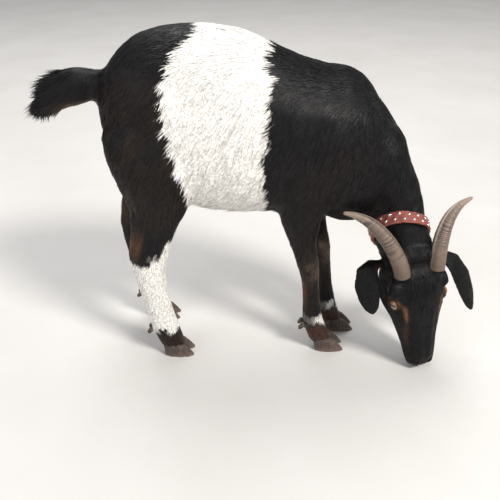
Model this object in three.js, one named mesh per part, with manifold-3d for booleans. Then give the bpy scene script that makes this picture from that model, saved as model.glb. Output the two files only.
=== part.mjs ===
// A small horned goat standing with its head down to graze, life size, wearing a collar.
// Millimetres, +X towards the chest, +Y to the goat's left, +Z up. The origin is on the floor,
// under the middle of the body. Each named piece is one closed solid out to the tips of the coat.
import * as THREE from 'three';
import { mergeVertices } from 'three/addons/utils/BufferGeometryUtils.js';
import Module from 'manifold-3d';

const wasm = await Module();
wasm.setup();

// ---- Driving dimensions ----
const GAP = 0.3; // clearance between pieces that touch
const SIDES = { right: -1, left: 1 };

const HEAD_YAW = 76; // degrees that the face turns to the goat's right
const HEAD_TILT = 17; // degrees that the nose leans forward of straight down
const HEAD_ROLL = 8; // degrees that the muzzle swings to the goat's left
const POLL = new THREE.Vector3(284, -90, 224); // top of the skull, between the horns

const EYE_RADIUS = 12;
const EYE_PLACE = { along: 74, rise: -11, out: 44 };

const COLLAR_PLACE = 0.69; // share of the neck's spine at the collar's middle
const COLLAR_WIDTH = 20.5;
const COLLAR_TILT = 6; // degrees that the collar slips towards the head on the goat's left
const COLLAR_PRESS = 2; // how far the collar sinks into the coat
const COLLAR_THICKNESS = 4.8;

const CLAW_HALF_WIDTH = 9.5;
const CLAW_SPLIT = 2.2; // half of the cleft between the two claws
const CLAW_HEIGHT = 27;
const DEWCLAW_OUT = 9; // from the middle of the foot

// ---- Directions ----
const FORWARD = new THREE.Vector3(1, 0, 0);
const LEFT = new THREE.Vector3(0, 1, 0);
const DOWN = new THREE.Vector3(0, 0, -1);

/** Level unit vector to the goat's left after a turn of `degrees` to its right. */
function leftAfterTurn(degrees) {
  const angle = THREE.MathUtils.degToRad(degrees);
  return new THREE.Vector3(Math.sin(angle), Math.cos(angle), 0);
}

// The head's own axes: NOSE runs from poll to muzzle, HEAD_LEFT to its left, BROW out of the face.
const tilt = THREE.MathUtils.degToRad(HEAD_TILT);
const roll = THREE.MathUtils.degToRad(HEAD_ROLL);
const HEAD_LEFT = leftAfterTurn(HEAD_YAW);
const FACING = new THREE.Vector3().crossVectors(HEAD_LEFT, new THREE.Vector3(0, 0, 1));
const NOSE = DOWN.clone().multiplyScalar(Math.cos(tilt)).addScaledVector(FACING, Math.sin(tilt));
const BROW = new THREE.Vector3().crossVectors(NOSE, HEAD_LEFT);
NOSE.applyAxisAngle(BROW, roll);
HEAD_LEFT.applyAxisAngle(BROW, roll);

/** Point given by its distance down the face, its rise out of the face and its place to the left. */
function headPoint(along, rise, left) {
  return POLL.clone()
    .addScaledVector(NOSE, along)
    .addScaledVector(BROW, rise)
    .addScaledVector(HEAD_LEFT, left);
}

// ---- Solids ----
const TIP_SHARE = 0.004; // how near the first ring of a domed piece comes to its end

function toSolid(geometry) {
  const bare = geometry.clone();
  bare.deleteAttribute('normal');
  bare.deleteAttribute('uv');
  const merged = mergeVertices(bare);
  return new wasm.Manifold(
    new wasm.Mesh({
      numProp: 3,
      vertProperties: Float32Array.from(merged.attributes.position.array),
      triVerts: Uint32Array.from(merged.index.array),
    })
  );
}

function toGeometry(solid) {
  const { vertProperties, triVerts } = solid.getMesh();
  const geometry = new THREE.BufferGeometry();
  geometry.setAttribute('position', new THREE.BufferAttribute(vertProperties, 3));
  geometry.setIndex(new THREE.BufferAttribute(triVerts, 1));
  geometry.computeVertexNormals();
  return geometry;
}

function smoothCurve(points) {
  return new THREE.CatmullRomCurve3(points, false, 'catmullrom', 0.5);
}

/** Quarter-circle growth from 0 at the end of a piece to 1 at `reach` along it. */
function domed(t, reach) {
  return t >= reach ? 1 : Math.sqrt(1 - (1 - t / reach) ** 2);
}

/**
 * Closed solid through stations { at, half: [side, top, bottom], side }. `at` is the centre, `half`
 * holds the half width and the reach above and below it, `side` the direction of the width.
 * `normal` keeps all rings in one direction; without it they turn with the spine. `from` and `to`
 * cut a length of the spine with flat ends, and `grow` makes the piece thicker all round.
 */
function loft(stations, options) {
  const { rings, around, normal, domeStart = 0, domeEnd = 0 } = options;
  const { power = 2.2, grow = 0, from = 0, to = 1 } = options;
  const spine = smoothCurve(stations.map((station) => station.at));
  const halves = smoothCurve(stations.map((station) => new THREE.Vector3(...station.half)));
  const sides = smoothCurve(stations.map((station) => station.side));
  const vertices = [];
  const indices = [];

  for (let ring = 0; ring < rings; ring += 1) {
    const even = ring / (rings - 1);
    const crowded = (1 - Math.cos(Math.PI * even)) / 2;
    const share = domeStart || domeEnd ? THREE.MathUtils.lerp(TIP_SHARE, 1 - TIP_SHARE, crowded) : even;
    const t = from + (to - from) * share;
    const direction = normal ?? spine.getTangent(t);
    const side = sides.getPoint(t).projectOnPlane(direction).normalize();
    const up = new THREE.Vector3().crossVectors(direction, side).normalize();
    const scale = domed(t, domeStart) * domed(1 - t, domeEnd);
    const half = halves.getPoint(t).multiplyScalar(scale).addScalar(grow);
    const centre = spine.getPoint(t);
    for (let step = 0; step < around; step += 1) {
      const angle = (2 * Math.PI * step) / around;
      const across = Math.sign(Math.cos(angle)) * Math.abs(Math.cos(angle)) ** (2 / power);
      const over = Math.sign(Math.sin(angle)) * Math.abs(Math.sin(angle)) ** (2 / power);
      const point = centre
        .clone()
        .addScaledVector(side, across * half.x)
        .addScaledVector(up, over * (over > 0 ? half.y : half.z));
      vertices.push(point.x, point.y, point.z);
    }
  }

  for (const [t, outward] of [[from, -grow], [to, grow]]) {
    const tip = spine.getPoint(t).addScaledVector(normal ?? spine.getTangent(t), outward);
    vertices.push(tip.x, tip.y, tip.z);
  }
  const startTip = rings * around;
  const endTip = startTip + 1;
  const last = (rings - 1) * around;
  for (let step = 0; step < around; step += 1) {
    const next = (step + 1) % around;
    for (let ring = 0; ring < rings - 1; ring += 1) {
      const near = ring * around;
      const far = near + around;
      indices.push(near + step, near + next, far + next, near + step, far + next, far + step);
    }
    indices.push(startTip, next, step, endTip, last + step, last + next);
  }

  const geometry = new THREE.BufferGeometry();
  geometry.setAttribute('position', new THREE.Float32BufferAttribute(vertices, 3));
  geometry.setIndex(indices);
  return toSolid(geometry);
}

/** Egg shape on the head: centre in head distances, radii along, out of the face and sideways. */
function headEgg(along, rise, left, radii, segments) {
  const geometry = new THREE.SphereGeometry(1, segments, Math.ceil(segments / 2));
  const [radiusAlong, radiusRise, radiusSide] = radii;
  const place = new THREE.Matrix4().makeBasis(
    HEAD_LEFT.clone().multiplyScalar(radiusSide),
    BROW.clone().multiplyScalar(radiusRise),
    NOSE.clone().multiplyScalar(radiusAlong)
  );
  place.setPosition(headPoint(along, rise, left));
  return toSolid(geometry.applyMatrix4(place));
}

// ---- Trunk: upright rings from the rump to the chest ----
function trunkStation(x, z, halfWidth, top, bottom) {
  return { at: new THREE.Vector3(x, 0, z), half: [halfWidth, top, bottom], side: LEFT };
}

function makeTrunk() {
  const stations = [
    trunkStation(-248, 474, 84, 76, 100),
    trunkStation(-205, 462, 95, 108, 122),
    trunkStation(-150, 450, 106, 137, 134),
    trunkStation(-90, 434, 115, 160, 144),
    trunkStation(-20, 422, 124, 165, 138),
    trunkStation(50, 415, 122, 143, 130),
    trunkStation(110, 409, 112, 125, 128),
    trunkStation(160, 398, 97, 131, 138),
    trunkStation(204, 380, 84, 130, 126),
    trunkStation(242, 364, 68, 112, 94),
  ];
  return loft(stations, { rings: 20, around: 26, normal: FORWARD, domeStart: 0.2, domeEnd: 0.22 });
}

// ---- Neck: leaves the shoulders forwards, drops and turns to the right ----
const NECK_STATIONS = [
  { at: new THREE.Vector3(130, 0, 412), half: [70, 92, 96], side: leftAfterTurn(0) },
  { at: new THREE.Vector3(182, 0, 392), half: [70, 86, 92], side: leftAfterTurn(4) },
  { at: new THREE.Vector3(222, 2, 346), half: [64, 62, 82], side: leftAfterTurn(14) },
  { at: new THREE.Vector3(247, 4, 304), half: [57, 57, 72], side: leftAfterTurn(30) },
  { at: new THREE.Vector3(264, -4, 268), half: [50, 50, 64], side: leftAfterTurn(52) },
  { at: new THREE.Vector3(268, -32, 243), half: [46, 48, 58], side: leftAfterTurn(70) },
  { at: new THREE.Vector3(276, -64, 224), half: [45, 46, 54], side: leftAfterTurn(HEAD_YAW) },
  { at: new THREE.Vector3(280, -84, 200), half: [46, 46, 52], side: leftAfterTurn(HEAD_YAW) },
];

function neckLoft(options) {
  return loft(NECK_STATIONS, { rings: 14, around: 20, ...options });
}

function makeNeck() {
  return neckLoft({ domeStart: 0.1, domeEnd: 0.12 });
}

// ---- Head ----
function headStation(along, rise, halfWidth, top, bottom) {
  return { at: headPoint(along, rise, 0), half: [halfWidth, top, bottom], side: HEAD_LEFT };
}

function makeHeadShell() {
  const stations = [
    headStation(-14, -34, 32, 24, 30),
    headStation(8, -36, 44, 42, 47),
    headStation(36, -34, 52, 50, 60),
    headStation(66, -30, 54, 47, 70),
    headStation(96, -34, 49, 42, 62),
    headStation(126, -38, 41, 39, 46),
    headStation(158, -41, 33, 33, 33),
    headStation(186, -43, 28, 29, 27),
    headStation(207, -45, 25, 22, 22),
    headStation(219, -46, 21, 15, 16),
  ];
  const shell = loft(stations, {
    rings: 19, around: 20, normal: NOSE, domeStart: 0.12, domeEnd: 0.1, power: 2.35,
  });
  const brows = Object.values(SIDES).map((side) => headEgg(50, -5, side * 43, [25, 15, 14], 12));
  return brows.reduce((head, brow) => head.add(brow), shell);
}

function makeEye(side, grow = 0) {
  const radius = EYE_RADIUS + grow;
  return headEgg(EYE_PLACE.along, EYE_PLACE.rise, side * EYE_PLACE.out, [radius, radius, radius], 10);
}

// Rows: along, rise, out, half depth, half width. The right horn sweeps further back.
const HORN_PATHS = {
  right: [
    [29, 2, 30, 14.5, 13.5],
    [-4, 8, 35, 14.5, 13.2],
    [-44, 8, 49, 13.5, 12],
    [-79, 4, 70, 11, 9.5],
    [-100, -2, 93, 7.5, 6],
    [-110, -8, 113, 3, 2.5],
  ],
  left: [
    [32, 2, 32, 14.5, 13.5],
    [1, 8, 37, 14.5, 13.2],
    [-32, 8, 50, 13.5, 12],
    [-58, 4, 70, 11, 9.5],
    [-72, -2, 95, 7.5, 6],
    [-78, -8, 124, 3, 2.5],
  ],
};

/** Horn: rises from the forehead, then sweeps outwards and a little back to a slender tip. */
function makeHorn(side, grow = 0) {
  const path = side === SIDES.right ? HORN_PATHS.right : HORN_PATHS.left;
  const stations = path.map(([along, rise, out, depth, width]) => ({
    at: headPoint(along, rise, side * out),
    half: [depth, width, width],
    side: BROW,
  }));
  return loft(stations, { rings: 12, around: 10, domeStart: 0.04, domeEnd: 0.03, grow });
}

// Rows: along, rise, out, half width, half thickness. The left ear swings wider of the cheek.
const EAR_PATHS = {
  right: [
    [12, -42, 36, 10, 8],
    [1, -38, 58, 14, 6],
    [8, -33, 76, 22, 4.5],
    [38, -30, 84, 26, 4],
    [68, -30, 83, 20, 3.5],
    [91, -30, 81, 9, 3],
  ],
  left: [
    [18, -42, 38, 10, 8],
    [16, -38, 62, 14, 6],
    [34, -33, 86, 22, 4.5],
    [70, -30, 100, 27, 4],
    [108, -30, 107, 22, 3.5],
    [139, -30, 109, 10, 3],
  ],
};

/** Ear: a long leaf that hangs beside the cheek. */
function makeEar(side, grow = 0) {
  const path = side === SIDES.right ? EAR_PATHS.right : EAR_PATHS.left;
  const stations = path.map(([along, rise, out, halfWidth, halfThickness]) => ({
    at: headPoint(along, rise, side * out),
    half: [halfWidth, halfThickness, halfThickness],
    side: NOSE.clone().multiplyScalar(0.35).addScaledVector(HEAD_LEFT, -side).addScaledVector(BROW, 0.5),
  }));
  return loft(stations, { rings: 10, around: 8, domeStart: 0.05, domeEnd: 0.12, grow });
}

// ---- Legs: level rings from the shoulder or hip down to the coronet ----
function legStation(side, [x, y, z, halfWidth, front, back]) {
  return { at: new THREE.Vector3(x, side * y, z), half: [halfWidth, front, back], side: LEFT };
}

const FORELEG = {
  right: [
    [112, 64, 446, 34, 44, 46],
    [104, 70, 400, 42, 62, 58],
    [92, 68, 345, 39, 56, 50],
    [86, 62, 290, 30, 38, 38],
    [92, 56, 238, 22, 25, 25],
    [106, 51, 182, 19, 19, 20],
    [111, 48, 150, 16.5, 16, 17],
    [115, 46, 100, 16, 16.5, 17],
    [120, 45, 62, 19, 20, 20],
    [131, 44, 34, 20.5, 20, 22],
    [136, 44, 15, 17, 18, 20],
  ],
  left: [
    [120, 64, 446, 34, 44, 46],
    [116, 70, 400, 42, 60, 58],
    [110, 66, 345, 39, 54, 50],
    [110, 56, 290, 30, 38, 38],
    [120, 44, 238, 22, 25, 25],
    [136, 32, 182, 19, 19, 20],
    [141, 28, 150, 16.5, 16, 17],
    [146, 23, 100, 16, 16.5, 17],
    [151, 21, 62, 19, 20, 20],
    [160, 20, 34, 20.5, 20, 22],
    [164, 20, 15, 17, 18, 20],
  ],
};

const HINDLEG = {
  right: [
    [-158, 58, 480, 40, 56, 60],
    [-158, 65, 435, 46, 78, 80],
    [-156, 72, 380, 48, 78, 72],
    [-156, 72, 330, 41, 67, 50],
    [-166, 69, 285, 30, 48, 36],
    [-178, 66, 240, 24, 44, 33],
    [-181, 65, 205, 23, 35, 32],
    [-176, 64, 160, 22, 25, 28],
    [-168, 62, 110, 21, 24, 25],
    [-160, 60, 66, 22, 25, 25],
    [-150, 59, 34, 22.5, 23, 25],
    [-145, 59, 15, 18, 20, 21],
  ],
  left: [
    [-162, 58, 480, 40, 56, 60],
    [-166, 65, 435, 46, 76, 76],
    [-172, 72, 380, 48, 76, 66],
    [-184, 72, 330, 41, 60, 48],
    [-204, 69, 285, 30, 42, 36],
    [-219, 66, 240, 24, 38, 32],
    [-220, 65, 205, 23, 31, 31],
    [-216, 64, 160, 22, 25, 28],
    [-208, 62, 110, 21, 24, 25],
    [-198, 60, 66, 22, 25, 25],
    [-189, 59, 34, 22.5, 23, 25],
    [-184, 59, 15, 18, 20, 21],
  ],
};

function makeLeg(rows, side) {
  const stations = rows.map((row) => legStation(side, row));
  return loft(stations, { rings: 17, around: 12, normal: DOWN, domeStart: 0.1, domeEnd: 0.03 });
}

// ---- Hooves: two claws and two dewclaws to a foot ----
/** One claw, flat below, with a steep toe wall. `centre` is the foot's middle on the floor. */
function makeClaw(centre, innerOrOuter, grow = 0) {
  const y = centre.y + innerOrOuter * (CLAW_SPLIT + CLAW_HALF_WIDTH);
  const rows = [
    [-16, CLAW_HEIGHT, 7.5, 16, 15],
    [-11, CLAW_HEIGHT * 0.8, 9, 21, 19],
    [-4, CLAW_HEIGHT * 0.35, CLAW_HALF_WIDTH, 25, 26],
    [1, 0, CLAW_HALF_WIDTH, 27, 30],
  ];
  const stations = rows.map(([back, z, halfWidth, front, heel]) => ({
    at: new THREE.Vector3(centre.x + back, y, z === 0 ? -grow : z),
    half: [halfWidth, front, heel],
    side: LEFT,
  }));
  return loft(stations, { rings: 4, around: 10, normal: DOWN, power: 2.1, grow });
}

function makeDewclaw(fetlock, innerOrOuter, grow = 0) {
  const y = fetlock.y + innerOrOuter * DEWCLAW_OUT;
  const stations = [
    [fetlock.x - 9, fetlock.z + 4, 5.5, 4.5],
    [fetlock.x - 15, fetlock.z - 2, 5.5, 4.5],
    [fetlock.x - 20, fetlock.z - 9, 3, 2.5],
  ].map(([x, z, width, depth]) => ({
    at: new THREE.Vector3(x, y, z),
    half: [width, depth, depth],
    side: LEFT,
  }));
  return loft(stations, { rings: 4, around: 6, domeStart: 0.2, domeEnd: 0.2, grow });
}

const FEET = {
  foreleg_right: { sole: new THREE.Vector3(153, -44, 0), fetlock: new THREE.Vector3(112, -45, 56) },
  foreleg_left: { sole: new THREE.Vector3(181, 20, 0), fetlock: new THREE.Vector3(143, 21, 56) },
  hindleg_right: { sole: new THREE.Vector3(-134, -59, 0), fetlock: new THREE.Vector3(-172, -60, 58) },
  hindleg_left: { sole: new THREE.Vector3(-173, 59, 0), fetlock: new THREE.Vector3(-211, 60, 58) },
};

// ---- Tail: a bushy brush held out behind ----
function makeTail() {
  const path = [
    [-200, 500, 20, 20],
    [-244, 499, 25, 25],
    [-278, 497, 31, 34],
    [-312, 490, 31, 34],
    [-344, 476, 24, 26],
    [-367, 460, 12, 14],
  ];
  const stations = path.map(([x, z, halfWidth, halfDepth]) => ({
    at: new THREE.Vector3(x, 0, z),
    half: [halfWidth, halfDepth, halfDepth],
    side: LEFT,
  }));
  return loft(stations, { rings: 10, around: 14, domeStart: 0.1, domeEnd: 0.2 });
}

// ---- Parting: the body is one solid, cut by thin flat gaps where its parts meet ----
const NECK_CUT = { point: new THREE.Vector3(198, 0, 385), normal: new THREE.Vector3(0.93, 0, -0.37) };
const HEAD_CUT = { point: headPoint(2, -46, 0), normal: new THREE.Vector3(0.1, -0.78, -0.62) };
const TAIL_CUT = { point: new THREE.Vector3(-243, 0, 500), normal: new THREE.Vector3(-1, 0, 0) };
const CUT_REACH = 900; // a cutting block is larger than the whole animal
const LEG_BLOCK_WIDTH = 200;
const LEG_BLOCK_BASE = -40; // below the floor

/** Block whose near face lies `shift` beyond the cut and which fills the space past it. */
function spaceBeyond({ point, normal }, shift) {
  const direction = normal.clone().normalize();
  const block = new THREE.BoxGeometry(CUT_REACH, CUT_REACH, CUT_REACH);
  const turn = new THREE.Quaternion().setFromUnitVectors(new THREE.Vector3(0, 0, 1), direction);
  const centre = point.clone().addScaledVector(direction, shift + CUT_REACH / 2);
  block.applyMatrix4(new THREE.Matrix4().makeRotationFromQuaternion(turn));
  return toSolid(block.translate(centre.x, centre.y, centre.z));
}

// Where each pair of legs leaves the trunk: a slope from behind to in front, and the inner side.
const LEG_CUTS = {
  foreleg: { behind: [20, 318], front: [190, 252], inner: { right: 12, left: -4 } },
  hindleg: { behind: [-262, 420], front: [-70, 318], inner: { right: 7, left: 7 } },
};

/** Block that holds one leg, drawn in by `shrink` at the faces that part it from the trunk. */
function legSpace({ behind, front, inner }, sideName, shrink) {
  const outline = new THREE.Shape();
  outline.moveTo(behind[0], behind[1] - shrink);
  outline.lineTo(front[0], front[1] - shrink);
  outline.lineTo(front[0], LEG_BLOCK_BASE);
  outline.lineTo(behind[0], LEG_BLOCK_BASE);
  outline.closePath();
  const block = new THREE.ExtrudeGeometry(outline, { depth: LEG_BLOCK_WIDTH, bevelEnabled: false });
  block.rotateX(Math.PI / 2);
  const nearFace = inner[sideName] + shrink;
  block.translate(0, sideName === 'left' ? nearFace + LEG_BLOCK_WIDTH : -nearFace, 0);
  return toSolid(block);
}

// ---- Collar: a band that follows the neck's own section and presses lightly into the coat ----
// The band is cut from this much of the neck either side of its middle, and its bore from more
const COLLAR_REACH = 0.08;
const COLLAR_BORE_REACH = 0.12;

function makeCollar(grow = 0) {
  const outer = neckLoft({
    rings: 3,
    from: COLLAR_PLACE - COLLAR_REACH,
    to: COLLAR_PLACE + COLLAR_REACH,
    grow: COLLAR_THICKNESS - COLLAR_PRESS + grow,
  });
  const inner = neckLoft({
    rings: 4,
    from: COLLAR_PLACE - COLLAR_BORE_REACH,
    to: COLLAR_PLACE + COLLAR_BORE_REACH,
    grow: -COLLAR_PRESS - grow,
  });
  const spine = smoothCurve(NECK_STATIONS.map((station) => station.at));
  const turn = THREE.MathUtils.degToRad(COLLAR_TILT);
  const level = { point: spine.getPoint(COLLAR_PLACE), normal: spine.getTangent(COLLAR_PLACE) };
  level.normal.multiplyScalar(Math.cos(turn)).addScaledVector(HEAD_LEFT, -Math.sin(turn));
  const half = COLLAR_WIDTH / 2 + grow;
  const band = outer.subtract(inner).intersect(spaceBeyond(level, -half));
  return band.subtract(spaceBeyond(level, half));
}

// ---- Assembly ----
const COAT_BLACK = { color: 0x16161a, roughness: 0.75, metalness: 0 };
const HORN_BROWN = { color: 0x8d7b6c, roughness: 0.6, metalness: 0 };
const HOOF_BROWN = { color: 0x4a3a33, roughness: 0.7, metalness: 0 };
const EYE_AMBER = { color: 0x8a5a30, roughness: 0.1, metalness: 0 };
const COLLAR_RED = { color: 0xaa4b41, roughness: 0.65, metalness: 0 };
const LEG_ROWS = { foreleg: FORELEG, hindleg: HINDLEG };

const goat = new THREE.Group();

function addPiece(name, solid, look) {
  const mesh = new THREE.Mesh(toGeometry(solid), new THREE.MeshStandardMaterial(look));
  mesh.name = name;
  goat.add(mesh);
}

let body = makeTrunk().add(makeNeck()).add(makeHeadShell()).add(makeTail());
for (const rows of Object.values(LEG_ROWS)) {
  for (const [sideName, side] of Object.entries(SIDES)) {
    body = body.add(makeLeg(rows[sideName], side));
  }
}

for (const limb of Object.keys(LEG_ROWS)) {
  for (const [sideName, side] of Object.entries(SIDES)) {
    const name = `${limb}_${sideName}`;
    const { sole, fetlock } = FEET[name];
    let leg = body.intersect(legSpace(LEG_CUTS[limb], sideName, GAP / 2));
    body = body.subtract(legSpace(LEG_CUTS[limb], sideName, -GAP / 2));
    for (const [part, offset] of [['inner', -side], ['outer', side]]) {
      leg = leg.subtract(makeClaw(sole, offset, GAP)).subtract(makeDewclaw(fetlock, offset, GAP));
      addPiece(`hoof_${name}_${part}`, makeClaw(sole, offset), HOOF_BROWN);
      addPiece(`dewclaw_${name}_${part}`, makeDewclaw(fetlock, offset), HOOF_BROWN);
    }
    addPiece(name, leg, COAT_BLACK);
  }
}

body = body.subtract(makeCollar(GAP));
for (const [sideName, side] of Object.entries(SIDES)) {
  body = body.subtract(makeHorn(side, GAP)).subtract(makeEar(side, GAP)).subtract(makeEye(side, GAP));
  addPiece(`horn_${sideName}`, makeHorn(side), HORN_BROWN);
  addPiece(`ear_${sideName}`, makeEar(side), COAT_BLACK);
  addPiece(`eye_${sideName}`, makeEye(side), EYE_AMBER);
}

addPiece('head', body.intersect(spaceBeyond(HEAD_CUT, GAP / 2)), COAT_BLACK);
body = body.subtract(spaceBeyond(HEAD_CUT, -GAP / 2));
addPiece('neck', body.intersect(spaceBeyond(NECK_CUT, GAP / 2)), COAT_BLACK);
body = body.subtract(spaceBeyond(NECK_CUT, -GAP / 2));
addPiece('tail', body.intersect(spaceBeyond(TAIL_CUT, GAP / 2)), COAT_BLACK);
addPiece('trunk', body.subtract(spaceBeyond(TAIL_CUT, -GAP / 2)), COAT_BLACK);
addPiece('collar', makeCollar(), COLLAR_RED);

const box = new THREE.Box3().setFromObject(goat, true);
goat.position.set(-(box.min.x + box.max.x) / 2, -(box.min.y + box.max.y) / 2, -box.min.z);

export default goat;
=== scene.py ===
# Looks of a small horned goat that stands with its head down to graze: skin, coat, eyes, horns,
# hooves and studded collar. Metres, +X towards the chest, +Y to the goat's left, +Z up.

import math
from contextlib import contextmanager

import bmesh
import bpy
import numpy as np
from mathutils import Matrix, Vector
from mathutils.bvhtree import BVHTree


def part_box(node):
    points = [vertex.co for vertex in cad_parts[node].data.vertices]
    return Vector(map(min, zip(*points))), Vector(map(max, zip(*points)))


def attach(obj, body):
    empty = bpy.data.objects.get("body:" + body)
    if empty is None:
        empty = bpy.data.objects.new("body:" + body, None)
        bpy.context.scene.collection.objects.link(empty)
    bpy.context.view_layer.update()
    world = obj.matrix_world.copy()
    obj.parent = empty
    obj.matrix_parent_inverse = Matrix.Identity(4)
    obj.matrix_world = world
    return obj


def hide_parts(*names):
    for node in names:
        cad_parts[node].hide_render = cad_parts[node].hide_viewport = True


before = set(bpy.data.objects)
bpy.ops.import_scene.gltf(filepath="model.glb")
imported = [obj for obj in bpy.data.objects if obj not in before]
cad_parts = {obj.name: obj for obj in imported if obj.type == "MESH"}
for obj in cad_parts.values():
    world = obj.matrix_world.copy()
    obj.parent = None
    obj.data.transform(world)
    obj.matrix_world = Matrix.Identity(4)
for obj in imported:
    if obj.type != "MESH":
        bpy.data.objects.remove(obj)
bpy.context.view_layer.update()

MM = 0.001
TURN = 2 * math.pi
SIDES = {"right": -1, "left": 1}
LIMBS = [f"{limb}_{side}" for limb in ("foreleg", "hindleg") for side in SIDES]

# ---- The head's axes ----
HEAD_YAW = 76  # degrees that the face turns to the goat's right
HEAD_TILT = 17  # degrees that the nose leans forward of straight down
HEAD_ROLL = 8  # degrees that the muzzle swings to the goat's left
EYE_ALONG, EYE_RISE, EYE_OUT = 74, -11, 44
EYE_RADIUS = 12

up = Vector((0, 0, 1))
yaw, tilt, roll = (math.radians(a) for a in (HEAD_YAW, HEAD_TILT, HEAD_ROLL))
to_left = Vector((math.sin(yaw), math.cos(yaw), 0))
facing = to_left.cross(up)
nose = -up * math.cos(tilt) + facing * math.sin(tilt)
brow = nose.cross(to_left)
nose.rotate(Matrix.Rotation(roll, 3, brow))
to_left.rotate(Matrix.Rotation(roll, 3, brow))


def box_centre(node):
    low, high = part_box(node)
    return (Vector(low) + Vector(high)) / 2


# Top of the skull, between the horns, found from the two eyes
poll = (box_centre("eye_right") + box_centre("eye_left")) / 2 - (nose * EYE_ALONG + brow * EYE_RISE) * MM
# The body's own measures are in millimetres from under the withers' line, as its drawing has them
origin = poll - Vector((284, -90, 224)) * MM
UP, FACING, NOSE, BROW, LEFT, POLL, ORIGIN = (
    np.array(v) for v in (up, facing, nose, brow, to_left, poll, origin))


def at(x, y, z):
    return Vector((x, y, z)) * MM + origin


def head_point(along, rise, left):
    return poll + (nose * along + brow * rise + to_left * left) * MM


def head_coordinates(points):
    """Distances down the face, out of it and to its left, in millimetres."""
    offset = (points - POLL) / MM
    return offset @ NOSE, offset @ BROW, offset @ LEFT


def drawn(points):
    """Points in the drawing's millimetres."""
    return (points - ORIGIN) / MM


# ---- Small helpers ----
def norm(vectors):
    return np.linalg.norm(vectors, axis=-1)


def unit(vectors):
    return vectors / np.maximum(norm(vectors)[..., None], 1e-12)


def fade(value, low, high):
    """Eases from 0 to 1 as the value goes from low to high."""
    t = np.clip((value - low) / (high - low), 0, 1)
    return t * t * (3 - 2 * t)


def hill(value, centre, width):
    return np.exp(-(((value - centre) / width) ** 2))


def waves(points, size, seed):
    """Smooth noise between about -1 and 1, from a few crossed waves of about this size in metres."""
    random = np.random.default_rng(seed)
    total = np.zeros(len(points))
    for _ in range(7):
        direction = unit(random.normal(size=3))
        stretch = random.uniform(0.6, 1.7)
        total += np.sin(points @ direction * (TURN * stretch / size) + random.uniform(0, 6.28))
    return total / 2.6


def read(items, field, width, kind=np.float32):
    values = np.empty(len(items) * width, kind)
    items.foreach_get(field, values)
    return values.reshape(-1, width)


def vertices_of(mesh):
    return read(mesh.vertices, "co", 3).astype(float)


def normals_of(mesh):
    return read(mesh.vertex_normals, "vector", 3).astype(float)


def set_vertices(mesh, places):
    mesh.vertices.foreach_set("co", np.ascontiguousarray(places, np.float32).ravel())
    mesh.update()


def set_attribute(mesh, name, values):
    """Stores a number, a direction or a colour at each vertex."""
    values = np.ascontiguousarray(values, np.float32)
    kinds = {1: ("FLOAT", "value"), 3: ("FLOAT_VECTOR", "vector"), 4: ("FLOAT_COLOR", "color")}
    kind, field = kinds[values.size // len(values)]
    mesh.attributes.new(name, kind, "POINT").data.foreach_set(field, values.ravel())


def set_hair(mesh, colours):
    set_attribute(mesh, "hair", np.c_[colours, np.ones(len(colours))])


def smooth_shading(mesh):
    mesh.polygons.foreach_set("use_smooth", np.full(len(mesh.polygons), True))
    mesh.update()


def new_object(name, mesh, material=None):
    piece = bpy.data.objects.new(name, mesh)
    bpy.context.scene.collection.objects.link(piece)
    if material:
        mesh.materials.append(material)
    return piece


def mesh_from(name, vertices, faces):
    mesh = bpy.data.meshes.new(name)
    mesh.from_pydata([tuple(v) for v in vertices], [], faces)
    mesh.update()
    return mesh


@contextmanager
def edited(mesh):
    """The mesh opened for bmesh's tools, and written back after them."""
    work = bmesh.new()
    work.from_mesh(mesh)
    yield work
    work.to_mesh(mesh)
    work.free()


def closed_mesh(name, vertices, faces):
    """A smooth mesh with all its faces turned to the outside."""
    mesh = mesh_from(name, vertices, faces)
    with edited(mesh) as work:
        bmesh.ops.recalc_face_normals(work, faces=work.faces)
    smooth_shading(mesh)
    return mesh


def tube_faces(rings, around):
    """Faces of a closed tube over rings of points, with its two end points last."""
    ring, step = np.meshgrid(np.arange(rings - 1), np.arange(around), indexing="ij")
    near, after = ring * around + step, ring * around + (step + 1) % around
    quads = np.stack([near, after, after + around, near + around], -1).reshape(-1, 4)
    start, last = rings * around, (rings - 1) * around
    steps = np.arange(around)
    start_cap = np.stack([np.full(around, start), (steps + 1) % around, steps], 1)
    end_cap = np.stack([np.full(around, start + 1), last + steps, last + (steps + 1) % around], 1)
    return [*quads.tolist(), *start_cap.tolist(), *end_cap.tolist()]


def finish_piece(piece, slot, *nodes, material=None):
    if material:
        piece.data.materials.clear()
        piece.data.materials.append(material)
        smooth_shading(piece.data)
    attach(piece, "root")
    if nodes:
        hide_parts(*nodes)


def copied_nodes(name, nodes, cuts, reshape=None):
    """One mesh from copies of CAD nodes, each divided `cuts` times along its edges."""
    joined = bmesh.new()
    for node in nodes:
        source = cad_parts[node]
        mesh = source.data.copy()
        with edited(mesh) as part:
            part.transform(source.matrix_world)
            bmesh.ops.remove_doubles(part, verts=part.verts, dist=1e-6)
            bmesh.ops.subdivide_edges(part, edges=part.edges, cuts=cuts, use_grid_fill=True)
        if reshape:
            set_vertices(mesh, reshape(node, vertices_of(mesh)))
        joined.from_mesh(mesh)
        bpy.data.meshes.remove(mesh)
    result = bpy.data.meshes.new(name)
    joined.to_mesh(result)
    joined.free()
    return result


def remeshed(name, mesh, voxel):
    """An object whose mesh is one even skin over all the mesh's parts."""
    piece = new_object(name, mesh)
    mesh.remesh_voxel_size = voxel
    mesh.remesh_voxel_adaptivity = 0
    mesh.use_remesh_fix_poles = False
    mesh.use_remesh_preserve_volume = True
    bpy.context.view_layer.objects.active = piece
    for other in bpy.context.selected_objects:
        other.select_set(False)
    piece.select_set(True)
    bpy.ops.object.voxel_remesh()
    piece.select_set(False)
    return piece


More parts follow.
